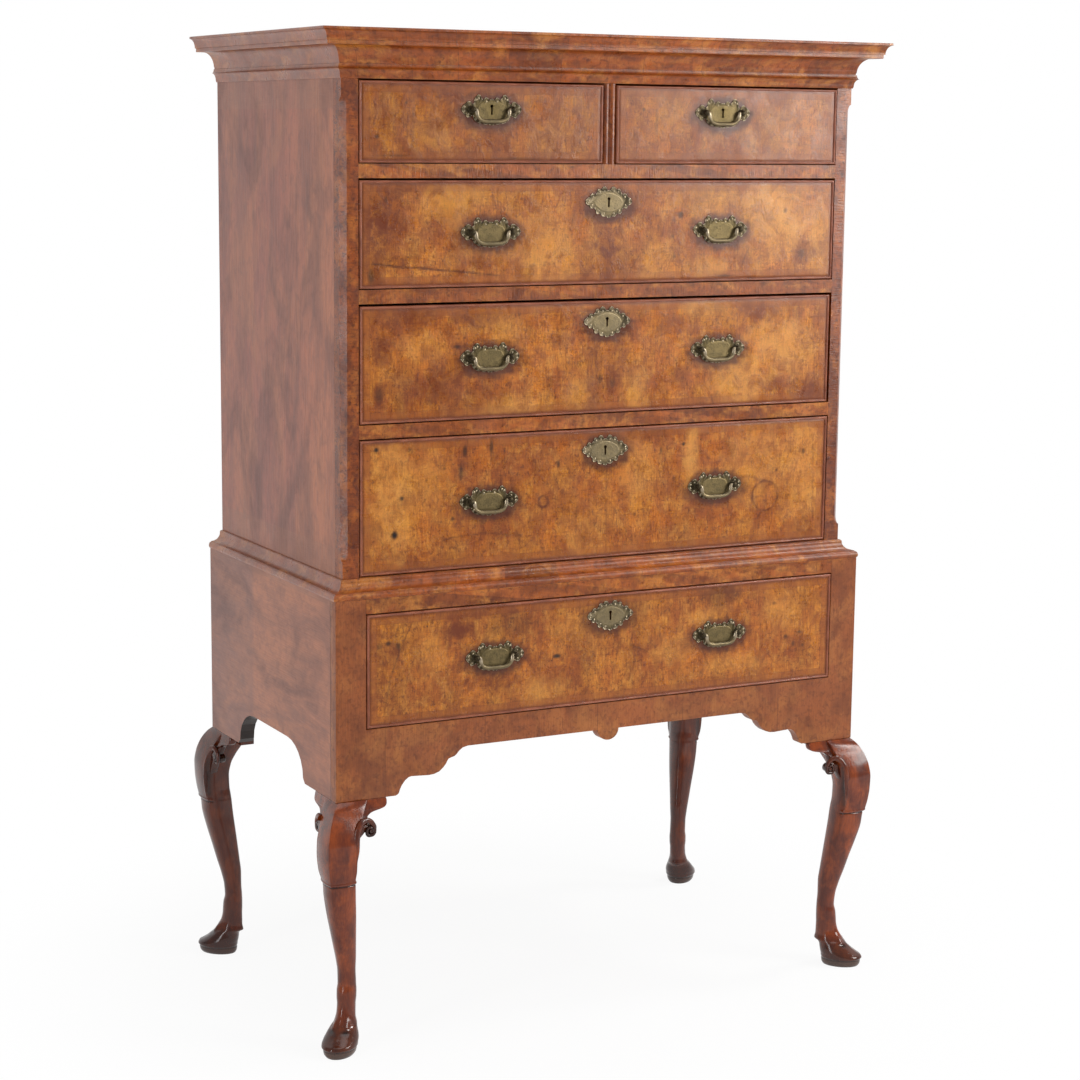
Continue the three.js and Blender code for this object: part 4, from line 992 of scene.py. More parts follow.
def cast_plate(half, field, centre, keyed, top):
    """A cast plate: a bevelled rim, a sunk ground, a flat field up to top, and a keyhole if keyed."""
    rim = inset_loops(half, centre, RIM_ROWS[:, :2])
    steps = ((-0.5, 0.8), (-0.3, 0.82), (0.4, top - 0.08), (0.8, top), (1.2, top))
    raised = inset_loops(field, centre, steps)
    n, h = len(rim[0]), len(half)
    m, g = len(raised[0]), len(field)
    points = np.concatenate(rim + raised)
    base = len(rim) * n
    last = base + (len(raised) - 1) * m
    faces = [grid_faces(len(rim), n, True), grid_faces(len(raised), m, True, base)]
    bridge = two_halves((len(rim) - 1) * n, h, base, g)
    # Dirt and painted shade lie in the cusps between the lobes, and the lobes are worn and lightened as
    # painted highlights
    middle = LOBE_STEPS // 2
    near = np.abs((np.arange(h) + middle) % LOBE_STEPS - middle)
    cusp = whole_loop(np.clip(0.8 - 0.4 * near, 0, 1)[:, None])[:, 0]
    wear_and_highlight = [v * (1 - cusp) for v in RIM_ROWS[:, 2]]
    wear_and_highlight.append(np.repeat([0, 0, 0.1, 0.1, 0.05], m))
    dark = [v + (1 - v) * cusp for v in RIM_ROWS[:, 3]]
    dark.append(np.repeat([0.1, 0.1, 0, 0, 0], m))
    if not keyed:
        faces.append(bridge + [list(range(last, last + m)), list(range(n - 1, -1, -1))])
    else:
        key = whole_loop(keyhole_half()[::-1])
        k, e = len(key), len(key) // 2 + 1
        front = np.column_stack([centre.x + key[:, 0], np.full(k, -top * MM), centre.z + key[:, 1]])
        rear = front * [1, 0, 1]
        f, r = len(points), len(points) + k
        points = np.concatenate([points, front, rear])
        faces.append(bridge + two_halves(last, g, f, e) + two_halves(0, h, r, e, True))
        i = np.arange(k)
        faces.append(np.stack([f + i, r + i, r + (i + 1) % k, f + (i + 1) % k], -1))
        wear_and_highlight.append(np.zeros(2 * k))
        # Painted shade: the keyhole's walls darken towards the back
        dark.append(np.repeat([0.0, 0.9], k))
    return points, faces, np.concatenate(wear_and_highlight), np.concatenate(dark)


def rim_bosses(lobes, half_width, half_height, centre, face):
    """A small dome inside each lobe of the rim."""
    rows = np.array(lobes)[:, :2] * [half_width, half_height]
    middle = (rows[:-1] + rows[1:]) / 2
    way = rows[1:] - rows[:-1]
    length = np.linalg.norm(way, axis=1)
    inward = np.column_stack([way[:, 1], -way[:, 0]]) / length[:, None]
    dome = [(2.0, 0.7), (1.8, 1.1), (1.1, 1.45), (0.2, 1.6)]
    return [turned_knob(dome, (centre.x + side * x, face, centre.z + z), 8)
            for x, z in (middle + inward * 2.2 * MM)[length > 6.5 * MM] for side in SIDES.values()]


def plate_parts(name, lobes, field, keyed, top):
    """The cast plate in a node's box with the bosses of its rim, and its middle, face, wear with painted
    highlight, and dirt with painted shade.
    """
    low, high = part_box(name)
    centre = (low + high) / 2
    half_width, half_height = (high.x - low.x) / 2, (high.z - low.z) / 2
    half = lobed_half(lobes, half_width, half_height)
    points, faces, wear_and_highlight, dark = cast_plate(half, field, centre, keyed, top)
    points[:, 1] += high.y
    bosses = rim_bosses(lobes, half_width, half_height, centre, high.y)
    return (points, faces), bosses, centre, high.y, wear_and_highlight, dark


def handle_plate(name, body, sizes, material):
    """A handle plate with two turned posts that hold the bail, on the drawer's face."""
    field = field_half(25.5 * MM, 15.5 * MM, -3.4 * MM, 3.0)
    plate, bosses, centre, face, wear_and_highlight, dark = plate_parts(name, PLATE_LOBES, field, "short" in name, 1.25)
    profile = [(0.5, 0.4), (5.8, 0.6), (6.0, 1.6), (5.2, 2.4), (3.8, 3.0), (3.5, 3.8), (4.2, 5.0), (4.9, 6.6),
               (4.8, 8.4), (3.8, 10.0), (1.8, 10.9), (0.3, 11.0)]
    seats = [centre.x + side * sizes.post_spacing / 2 for side in SIDES.values()]
    posts = [turned_knob(profile, (x, face, centre.z)) for x in seats]
    points, faces = joined_parts([plate, *posts, *bosses])
    posted = 2 * len(posts[0][0])
    bossed = len(points) - len(wear_and_highlight) - posted
    # The posts are lightened a little, and the bosses more, as wear and painted highlight
    wear_and_highlight = np.concatenate([wear_and_highlight, np.full(posted, 0.12), np.full(bossed, 0.55)])
    # The posts are darkened, and round each seat the plate darkens as the post's painted shadow
    dark = np.concatenate([dark, np.full(posted, 0.35), np.zeros(bossed)])
    for x in seats:
        gap = np.hypot(points[:, 0] - x, points[:, 2] - centre.z)
        dark = np.maximum(dark, np.clip(1.7 - gap / (7 * MM), 0, 1) * 0.85)
    cast = name.replace("handle_plate", "cast_plate")
    layers = {"wear_and_highlight": wear_and_highlight, "hollow": dark}
    make_piece(cast, (points, faces), material, body, [name], 24.0, layers)


def escutcheon(name, body, material):
    """A keyhole plate with a scalloped rim."""
    field = field_half(27 * MM, 15.5 * MM, -0.5 * MM, 1.7)
    plate, bosses, _, _, wear_and_highlight, dark = plate_parts(name, ESCUTCHEON_LOBES, field, True, 1.0)
    points, faces = joined_parts([plate, *bosses])
    bossed = len(points) - len(wear_and_highlight)
    # The plate is lightened a little all over, and its bosses more, as wear and painted highlight
    wear_and_highlight = np.concatenate([wear_and_highlight + 0.15, np.full(bossed, 0.5)])
    layers = {"wear_and_highlight": wear_and_highlight, "hollow": np.concatenate([dark, np.zeros(bossed)])}
    cast = name.replace("escutcheon", "keyhole_plate")
    make_piece(cast, (points, faces), material, body, [name], 24.0, layers)


def swan_neck_bail(name, sizes, material):
    """A bail: a bar along a smooth curve from post to post, thickest in the middle and by each neck."""
    low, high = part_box(name)
    centre = Vector(((low.x + high.x) / 2, (low.y + high.y) / 2, high.z - sizes.bail_radius))
    # The left half's line from the post to the middle: x, measured from the post but for the last two, and z
    inner = sizes.post_spacing / 2 / MM
    knots = np.array([
        [-inner, 0.0], [-inner + 3.4, 0.2], [-inner + 6.2, -1.6], [-inner + 7.0, -5.6], [-inner + 8.0, -10.0],
        [-inner + 12.0, -15.4], [-inner + 19.0, -18.4], [-10.0, -19.2], [0.0, -19.2],
    ]) * MM
    knots = np.vstack([knots, (knots[:-1] * [-1, 1])[::-1]])
    arc = lengths_along(knots)
    at = np.linspace(0, arc[-1], 73)
    curve = eased_curve(np.column_stack([arc, knots]), at)
    share = np.abs(at / arc[-1] - 0.5) * 2
    radius = np.interp(share, [0, 0.4, 0.62, 0.76, 0.87, 0.94, 1.0], [2.7, 2.5, 2.2, 2.7, 2.5, 1.8, 1.5]) * MM
    path = np.column_stack([centre.x + curve[:, 0], np.full(len(curve), centre.y), centre.z + curve[:, 1]])
    sides = 12
    points, faces = turned_rod(path, radius, sides)
    # The bar is cast taller than it is deep
    offset = points.reshape(len(path), sides, 3) - path[:, None]
    offset[:, :, (0, 2)] *= np.interp(share, [0, 0.85, 0.95], [1.32, 1.3, 1.0])[:, None, None]
    points = (path[:, None] + offset).reshape(-1, 3)
    # The front of the bar, most on its arms, is lightened as wear and painted highlight
    top = np.clip((points[:, 1].max() - points[:, 1]) / (4 * MM), 0, 1)
    arms = np.repeat(bell(share, 0.8, 0.12), sides)
    # Painted shade: the bar darkens where it goes into the posts and along its bottom
    darkening = np.clip((share - 0.9) * 6, 0, 1) * 0.6 + 0.3 * np.clip(1 - 1.6 * share, 0, 1)
    layers = {"wear_and_highlight": 0.05 + 0.15 * top + 0.6 * arms * top, "hollow": np.repeat(darkening, sides)}
    cast = name.replace("bail", "swan_neck_bail")
    make_piece(cast, (points, faces), material, name, [name], 50.0, layers)


# Legs

# Sections of a leg from the floor up, in its own diagonal: height as a share of the leg's, then outer face,
# inner face and half the width as shares of its thickness, and how square the section is
LEG_SECTIONS = np.array([
    [0, 0.37, -0.53, 0.31, 2], [0.01, 0.41, -0.56, 0.35, 2], [0.028, 0.43, -0.575, 0.375, 2],
    [0.036, 0.455, -0.58, 0.4, 2], [0.046, 0.425, -0.585, 0.4, 2], [0.056, 0.33, -0.6, 0.395, 2],
    [0.071, 0.195, -0.615, 0.37, 2], [0.088, 0.085, -0.635, 0.33, 1.9], [0.099, 0.025, -0.68, 0.3, 1.8],
    [0.108, -0.02, -0.765, 0.275, 1.6], [0.13, -0.1, -0.74, 0.235, 1.6], [0.15, -0.17, -0.735, 0.215, 1.8],
    [0.18, -0.215, -0.73, 0.21, 1.9], [0.21, -0.23, -0.735, 0.226, 1.9],
    [0.232, -0.245, -0.735, 0.228, 1.9], [0.262, -0.285, -0.73, 0.213, 1.9],
    [0.31, -0.26, -0.715, 0.212, 1.8], [0.36, -0.185, -0.715, 0.235, 1.75],
    [0.42, -0.065, -0.675, 0.27, 1.7], [0.49, 0.065, -0.62, 0.312, 1.65],
    [0.56, 0.205, -0.565, 0.355, 1.55], [0.63, 0.325, -0.51, 0.385, 1.45],
    [0.684, 0.372, -0.475, 0.4, 1.45], [0.69, 0.408, -0.47, 0.418, 1.4], [0.702, 0.43, -0.46, 0.425, 1.4],
    [0.74, 0.485, -0.425, 0.46, 1.35], [0.79, 0.525, -0.415, 0.48, 1.35],
    [0.84, 0.535, -0.47, 0.485, 1.35], [0.885, 0.49, -0.6, 0.49, 1.3], [0.925, 0.4, -0.76, 0.49, 1.25],
    [0.955, 0.29, -0.88, 0.5, 1.2], [0.98, 0.16, -0.95, 0.5, 1.15], [1, 0, -1, 0.5, 1.05],
])
# Reach of the ear inwards from the corner, by drop under the frame, as shares of its reach and height
EAR_EDGE = np.array([
    [0.0, 0.985], [0.06, 1.0], [0.12, 0.995], [0.17, 0.96], [0.205, 0.87], [0.225, 0.76], [0.26, 0.66],
    [0.33, 0.585], [0.42, 0.57], [0.5, 0.57], [0.6, 0.5], [0.72, 0.4], [0.9, 0.3], [1.0, 0.24],
])
# Middle line of the scroll, in mm: reach inwards, height over the floor, how far it stands forward, and half
# its width
SCROLL_LINE = np.array([
    [20, 299, 22, 1.0], [21, 312, 23.6, 2.8], [22.5, 331, 25.3, 3.8], [24.5, 350, 26.3, 4.8],
    [25, 365, 25.8, 5.2], [26.5, 377, 24.4, 5.4], [31, 387.5, 21.5, 5.4], [37, 394, 19, 5.2],
    [44, 396.5, 17, 4.9], [51.5, 394.5, 15.8, 4.5], [58, 389, 15.2, 4.1], [61.8, 381.5, 15, 3.7],
    [61.8, 373, 15, 3.4], [57, 367, 15.2, 3.1], [50.3, 366.5, 15.5, 2.9], [45.6, 371.5, 15.8, 2.7],
    [46, 378.5, 16.2, 2.5], [50.5, 382.5, 16.5, 2.3], [56, 380.5, 16.9, 2.0], [57.3, 375.5, 17.2, 1.8],
    [53.6, 372.8, 17.5, 1.5], [51, 375.5, 17.8, 0.9],
])
# Middle of the scroll's roll: reach inwards and height over the floor, in mm
ROLL_MIDDLE = np.array([53.5, 376.5])


def leg_skin(sizes):
    """Body of a front left leg with its corner at zero.

    Each section is a superellipse in the leg's diagonal: along times cosine to a power, and across times sine
    to a power. Ridges are added along its two inner arrises, hollows beside them, a collar and two dewclaws.
    """
    height = sizes.leg_height
    thick = sizes.leg_thickness
    # More sections lie in the hoof and in the collar
    spans = (np.linspace(0, 1, 190), np.linspace(0.0, 0.13, 60), np.linspace(0.675, 0.71, 22))
    share = np.unique(np.concatenate(spans))
    rows = eased_curve(LEG_SECTIONS, share)
    turn = np.linspace(0, 2 * np.pi, 120, endpoint=False)
    c, s = np.cos(turn)[None], np.sin(turn)[None]
    outer, inner, across, power = (rows[:, k : k + 1] for k in range(4))
    # Over the collar the outer half has a crisp arris
    sharp = ramp(share, 0.64, 0.7) * ramp(share, 1.0, 0.95)
    power = power - np.where(c > 0, 0.2 * sharp[:, None], 0)
    power = 2 / power
    along = thick * (outer - inner) / 2
    d = thick * (outer + inner) / 2 + along * np.sign(c) * np.abs(c) ** power
    w = thick * across * np.sign(s) * np.abs(s) ** power
    t = share[:, None]
    # The ridge stands where the front meets the inner face, from the collar up, and is mirrored on the side.
    # Places round the leg are degrees from its outer arris, and places up it are shares of its height
    face = np.abs(((np.degrees(turn)[None] + 180) % 360) - 180)
    knee = ramp(t, 0.695, 0.725) * ramp(t, 0.9, 0.86)
    ridge_at = np.interp(t, [0.67, 0.74, 0.8, 0.88], [74, 86, 91, 80])
    ridge = bell(face, ridge_at, 6.0) * knee
    channel = bell(face, ridge_at + 22, 13.0) * knee
    claw = bell(face, 34, 13.0) * bell(t, 0.112, 0.016)
    under = bell(face, 34, 16.0) * bell(t, 0.088, 0.008)
    rim = bell(t, 0.029, 0.004)
    collared = face < 110
    line = bell(t, 0.684, 0.003) * collared
    collar = bell(t, 0.694, 0.004) * collared
    toe = bell(face, 0, 9.0) * ramp(t, 0.03, 0.05) * ramp(t, 0.1, 0.08)
    lift = ridge - 1.6 * channel + 3.2 * claw - 1.4 * under - 0.8 * rim - 0.9 * line
    out = (lift + 0.9 * collar + 1.2 * toe) * MM
    middle = thick * (outer + inner) / 2
    away = np.hypot(d - middle, w)
    d = d + out * (d - middle) / away
    w = w + out * w / away
    k = math.sqrt(0.5)
    x = k * (w - d) + sizes.knee_shift
    y = -k * (w + d) - sizes.knee_shift
    z = np.repeat(t * height, len(turn), 1)
    # Dirt in the channels, under the dewclaws, in the hoof's rim groove and under the collar, deepened as
    # painted shade
    hollow = np.clip(0.7 * channel + 0.9 * under + 0.6 * rim + line - 0.3 * collar, 0, 1)
    return np.stack([x, y, z], -1), hollow


def ear_skin(sizes):
    """The ear on the front of a front left leg: rounded bars across it, one for each drop under the frame.

    A bar runs from the leg to the ear's edge, is as deep as the board, and comes forward with the drop.
    """
    drop = np.linspace(0, 1, 70)
    edge = eased_curve(EAR_EDGE, drop)[:, 0] * sizes.ear_reach
    top = sizes.leg_height - sizes.joint_gap
    forward = sizes.ear_forward * np.clip(drop / 0.5, 0, 1) ** 1.5
    root = 0.06 * sizes.ear_reach
    deep = sizes.ear_thickness
    ease = np.minimum(3.2 * MM, (edge - root) * 0.45)
    turn = np.radians(np.linspace(-90, 90, 9))
    rings = []
    for k in range(len(drop)):
        across = edge[k] - ease[k] + ease[k] * np.cos(turn)
        along = np.where(turn < 0, ease[k], deep - ease[k]) + ease[k] * np.sin(turn)
        across = np.concatenate([[root], across, [root]])
        along = np.concatenate([[0.0], along, [deep]])
        level = np.full(len(across), top - sizes.ear_height * drop[k])
        rings.append(np.column_stack([across, along - forward[k], level]))
    rings = np.array(rings)
    # Painted shade: the ear darkens towards its lower edge
    hollow = np.repeat(np.clip((drop - 0.2) * 3, 0, 0.55)[:, None], rings.shape[1], 1)
    return rings, hollow


def scroll_parts(first):
    """The knee's scroll: a flattened bar along its middle line, and the boss that its end lies round.

    Only the middle line's points from the first one on are used.
    """
    # The roll is wound a little tighter than the line, round its own middle
    tight = np.interp(np.arange(len(SCROLL_LINE)), [5, 10], [1.0, 0.84])[:, None]
    line = SCROLL_LINE.copy()
    line[:, :2] = ROLL_MIDDLE + (line[:, :2] - ROLL_MIDDLE) * tight
    line = line[first:] * MM
    arc = lengths_along(line[:, :3])
    at = np.linspace(0, arc[-1], 170)
    curve = eased_curve(np.column_stack([arc, line]), at)
    path = np.column_stack([curve[:, 0], -curve[:, 2], curve[:, 1]])
    guide = np.array([0.0, -1.0, 0.0])
    side = square_to(path, guide)[1]
    sides = 14
    turn = np.linspace(0, 2 * np.pi, sides, endpoint=False)
    width = curve[:, 3:4, None]
    circle = np.cos(turn)[None, :, None] * side[:, None] * width
    circle = circle + np.sin(turn)[None, :, None] * guide * np.minimum(width * 0.8, 3.6 * MM)
    bar = path[:, None] + circle
    # Painted shade: the bar darkens as it winds into the roll
    bar_dark = np.repeat(np.clip((at / arc[-1] - 0.3) * 1.8, 0.05, 0.85), sides)
    # The boss by its radius, its distance forward and how dark it is painted, as shade in the roll
    rows = np.array([
        [0.4, -15.0, 0.8], [6.2, -15.2, 0.9], [8.0, -13.0, 0.8], [8.2, -3.0, 0.8], [7.4, -1.4, 0.9],
        [4.2, -0.9, 1.0], [2.6, 0.6, 0.95], [2.1, 2.4, 0.8], [1.1, 3.4, 0.6], [0.3, 3.6, 0.5],
    ])
    sides = 28
    boss = turned_knob(rows[:, :2], (ROLL_MIDDLE[0] * MM, -15 * MM, ROLL_MIDDLE[1] * MM), sides)[0]
    return (bar, bar_dark), (boss.reshape(-1, sides, 3), np.repeat(rows[:, 2], sides))


def swapped(points):
    """The same shape on the other face of the leg: x and y exchanged about the corner's diagonal."""
    out = points.copy()
    out[..., 0], out[..., 1] = points[..., 1].copy(), points[..., 0].copy()
    return out


def outwards(part):
    """A loft with its faces turned out, by the sign of its sides' volume round its middle."""
    points, (quads, caps) = part
    if signed_volume(points - points.mean(0), [quads]) < 0:
        return points, [quads[:, ::-1], [f[::-1] for f in caps]]
    return part


# Sizes and colours that a user may change


class HighboyFinish(bpy.types.PropertyGroup):
    """Main colours as they are read from the piece, in sRGB hex."""

    honey_hex: StringProperty(
        name="Veneer", description="Ground colour of the drawer veneer", default="#d27c24")
    bead_hex: StringProperty(
        name="Bead", description="Colour of the beads round the drawers", default="#94553a")
    side_hex: StringProperty(
        name="Sides", description="Ground colour of the side veneer", default="#a2543a")
    stand_side_hex: StringProperty(
        name="Stand sides", description="Ground colour of the veneer on the stand's sides", default="#945840")
    leg_hex: StringProperty(
        name="Legs", description="Ground colour of the carved legs", default="#743216")
    brass_hex: StringProperty(
        name="Brass", description="Ground colour of the brasses", default="#70603c")


def length(**settings):
    """A property that holds a length in metres."""
    return FloatProperty(unit="LENGTH", **settings)


class HighboySizes(bpy.types.PropertyGroup):
    """Sizes of the detail that the looks add, in metres."""

    bead_width: length(name="Bead width", description="Width of the bead round a drawer", default=0.004)
    bead_height: length(name="Bead height", description="How far the bead stands out", default=0.002)
    post_spacing: length(name="Posts", description="Distance between a handle's posts", default=0.072)
    bail_radius: length(name="Bail", description="Radius of a bail", default=0.0028)
    leg_height: length(name="Leg height", description="Height of the legs", default=0.424)
    leg_thickness: length(name="Leg thickness", description="Thickness of the leg's square", default=0.072)
    knee_shift: length(name="Knee shift", description="How far the knee stands forward and in", default=0.002)
    ear_reach: length(name="Ear reach", description="Reach of the ear from the corner", default=0.09)
    ear_height: length(name="Ear height", description="Height of the ear", default=0.084)
    ear_thickness: length(name="Ear thickness", description="Thickness of the ear", default=0.014)
    ear_forward: length(name="Ear forward", description="How far the ear comes forward", default=0.014)
    joint_gap: length(name="Joint gap", description="Gap at a glued joint", default=0.0002)


class HighboyStudio(bpy.types.PropertyGroup):
    """Camera and light."""

    place: FloatVectorProperty(
        name="Camera", description="Place of the camera", default=(-1.99407, -3.79084, 1.49443),
        subtype="TRANSLATION", unit="LENGTH")
    yaw: FloatProperty(
        name="Yaw", description="Turn of the camera to the left", default=math.radians(-27.93),
        unit="ROTATION")
    pitch: FloatProperty(
        name="Pitch", description="Tilt of the camera", default=math.radians(-9.52), unit="ROTATION")
    roll: FloatProperty(
        name="Roll", description="Roll of the camera", default=math.radians(0.59), unit="ROTATION")
    lens: FloatProperty(
        name="Lens", description="Focal length on a sensor 36 mm wide", default=81.146, min=20.0)
    key: FloatProperty(
        name="Key light", description="Power of the softbox on the right", default=92.0, unit="POWER")
    fill: FloatProperty(
        name="Fill light", description="Power of the softbox on the left", default=36.0, unit="POWER")
    room: FloatProperty(
        name="Room light", description="Strength of the light from all round", default=0.42)
    floor: FloatVectorProperty(
        name="Floor", description="Colour of the floor", default=(0.86, 0.86, 0.86), subtype="COLOR")


# Operators


class HIGHBOY_OT_stage(bpy.types.Operator):
    """Make the floor, the softboxes, the room light and the camera"""

    bl_idname = "highboy.stage"
    bl_label = "Stage"

    def execute(self, context):
        studio = context.scene.highboy_studio
        self.floor(studio)
        self.lights(studio)
        self.world(context, studio)
        self.camera(context, studio)
        return {"FINISHED"}

    def floor(self, studio):
        """A round floor whose far part fades into the white of the room."""
        sides = 96
        turn = np.linspace(0, 2 * np.pi, sides, endpoint=False)
        radii = [0.6, 1.2, 2.0, 3.2, 6.0, 16.0]
        below = np.full(sides, -0.2 * MM)
        points = np.concatenate([np.column_stack([r * np.cos(turn), r * np.sin(turn), below]) for r in radii])
        mesh = bpy.data.meshes.new("studio_floor")
        quads = grid_faces(len(radii), sides, True)
        mesh.from_pydata(points.tolist(), [], quads[:, ::-1].tolist() + [list(range(sides))])
        if mesh.polygons[0].normal.z < 0:
            mesh.flip_normals()
        material, tree = new_material("white_studio_floor")
        place = add_node(tree, "TexCoord")["Object"]
        far = add_node(tree, "VectorMath", {0: place}, operation="LENGTH")["Value"]
        near = {"Value": far, "From Min": 0.4, "From Max": 1.1, "To Min": 0.09, "To Max": 0.0}
        share = add_node(tree, "MapRange", near, interpolation_type="SMOOTHSTEP")["Result"]
        matt = add_node(tree, "BsdfDiffuse", {"Color": (*studio.floor, 1.0)})[0]
        white = add_node(tree, "Emission", {"Color": (1, 1, 1, 1), "Strength": 1.0})[0]
        seen = add_node(tree, "MixShader", {0: share, 1: white, 2: matt})[0]
        rays = self.seen_rays(tree, place, (-1.5, 0.5), studio)
        surface = add_node(tree, "MixShader", {0: rays, 1: matt, 2: seen})[0]
        add_node(tree, "OutputMaterial", {"Surface": surface})
        mesh.materials.append(material)
        linked("studio_floor", mesh)

    def lights(self, studio):
        """A large softbox right of the front, a strip on the left, one above and one behind on the right."""
        neutral = (1.0, 1.0, 1.0)
        # Place, aim, size, power and colour of each
        boxes = {
            "key": ((2.65, -2.75, 1.95), (0.1, -0.26, 1.2), (1.5, 1.5), studio.key, (1.0, 0.985, 0.96)),
            "strip": ((-3.4, -1.55, 1.3), (0.0, 0.0, 0.9), (0.5, 2.4), studio.fill, (0.97, 0.98, 1.0)),
            "top": ((0.2, -0.9, 3.9), (0.0, 0.0, 0.9), (2.0, 2.0), studio.fill * 0.6, neutral),
            "rim": ((2.6, -0.3, 3.4), (0.4, -0.2, 0.5), (0.65, 0.65), studio.fill * 1.2, neutral),
        }
        for name, (place, aim, size, power, colour) in boxes.items():
            lamp = bpy.data.lights.new(f"{name}_softbox", "AREA")
            lamp.shape, lamp.energy, lamp.color = "RECTANGLE", power, colour
            lamp.size, lamp.size_y = size
            made = linked(f"{name}_softbox", lamp)
            made.location = place
            made.rotation_euler = (Vector(aim) - Vector(place)).to_track_quat("-Z", "Y").to_euler()

    def seen_rays(self, tree, place, span, studio):
        """1 for rays that see the white room, and for those that mirror its backdrop behind the piece."""
        path = add_node(tree, "LightPath")
        mirrors = {0: path["Is Glossy Ray"], 1: path["Is Transmission Ray"]}
        mirrored = add_node(tree, "Math", mirrors, operation="MAXIMUM")[0]
        ahead = (-math.sin(studio.yaw), math.cos(studio.yaw), 0.0)
        depth = add_node(tree, "VectorMath", {0: place, 1: ahead}, operation="DOT_PRODUCT")["Value"]
        behind = {"Value": depth, "From Min": span[0], "From Max": span[1]}
        rear = add_node(tree, "MapRange", behind, interpolation_type="SMOOTHSTEP")["Result"]
        mirrored = add_node(tree, "Math", {0: mirrored, 1: rear}, operation="MULTIPLY")[0]
        return add_node(tree, "Math", {0: path["Is Camera Ray"], 1: mirrored}, operation="MAXIMUM")[0]

    def world(self, context, studio):
        """The room: its backdrop is white where it is seen or mirrored, and all of it lights the piece."""
        world = bpy.data.worlds.new("studio_room")
        world.use_nodes = True
        tree = world.node_tree
        tree.nodes.clear()
        rays = self.seen_rays(tree, add_node(tree, "TexCoord")["Generated"], (0.1, 0.4), studio)
        level = {"Value": rays, "To Min": studio.room, "To Max": 1.0}
        strength = add_node(tree, "MapRange", level)["Result"]
        light = add_node(tree, "Background", {"Color": (1, 1, 1, 1), "Strength": strength})[0]
        add_node(tree, "OutputWorld", {"Surface": light})
        context.scene.world = world

    def camera(self, context, studio):
        """The photograph's camera, from its place, yaw, pitch and roll."""
        yaw, pitch, roll = studio.yaw, studio.pitch, studio.roll
        ahead = Vector((-math.sin(yaw) * math.cos(pitch), math.cos(yaw) * math.cos(pitch), math.sin(pitch)))
        right = Vector((math.cos(yaw), math.sin(yaw), 0.0))
        above = right.cross(ahead)
        x = right * math.cos(roll) + above * math.sin(roll)
        y = -right * math.sin(roll) + above * math.cos(roll)
        lens = bpy.data.cameras.new("studio_camera")
        lens.lens, lens.sensor_width = studio.lens, 36.0
        lens.clip_start, lens.clip_end = 0.05, 60.0
        made = linked("studio_camera", lens)
        turn = Matrix((x, y, -ahead)).transposed().to_4x4()
        made.matrix_world = Matrix.Translation(Vector(studio.place)) @ turn
        context.scene.camera = made
        context.scene.view_settings.view_transform = "Standard"


class HIGHBOY_OT_woods(bpy.types.Operator):
    """Mix the woods that several pieces share"""

    bl_idname = "highboy.woods"
    bl_label = "Woods"

    def execute(self, context):
        WOODS["mouldings"] = solid_walnut(
            "cross_grained_moulding_walnut", "run_place", ("X", "Y", 0.0), 92.0,
            ("#4c1803", "#b05a1e", "#d48c3e"), ((44, 24, 30), (8, 8, 8), (1.8, 3.0, 20)),
            (0.5, 0.6, 0.6, 0.7, 0.25), return_reflection=0.4)
        WOODS["rails"] = solid_walnut(
            "cross_grained_rail_walnut", "", ("X", "Z", 7.3), 120.0,
            ("#4c1a04", "#b05e22", "#d88e3c"), ((40, 24, 24), (8, 10, 8), (1.8, 3.0, 16)),
            (0.6, 0.6, 0.55, 0.7, 0.3))
        WOODS["posts"] = solid_walnut(
            "cross_grained_post_walnut", "", ("Z", "X", 3.1), 150.0,
            ("#421202", "#9c4c16", "#c27226"), ((24, 24, 40), (7, 10, 6), (16, 3.0, 1.8)),
            (0.5, 0.6, 0.5, 0.85, 0.3))
        WOODS["apron"] = solid_walnut(
            "apron_walnut_veneer", "", ("X", "Z", 0.0), 170.0,
            ("#54220a", "#a05828", "#c07c3c"), ((60, 30, 70), (7, 12, 8), (1.9, 3.0, 40)),
            (0.35, 0.5, 0.4, 0.62, 0.25), (0.28, 0.42))
        WOODS["pine_boards"] = bare_pine("aged_pine_boards", "#b08d62", (420, 60, 26))
        WOODS["drawer_oak"] = bare_pine("aged_drawer_oak", "#a98a60", (34, 420, 24))
        return {"FINISHED"}


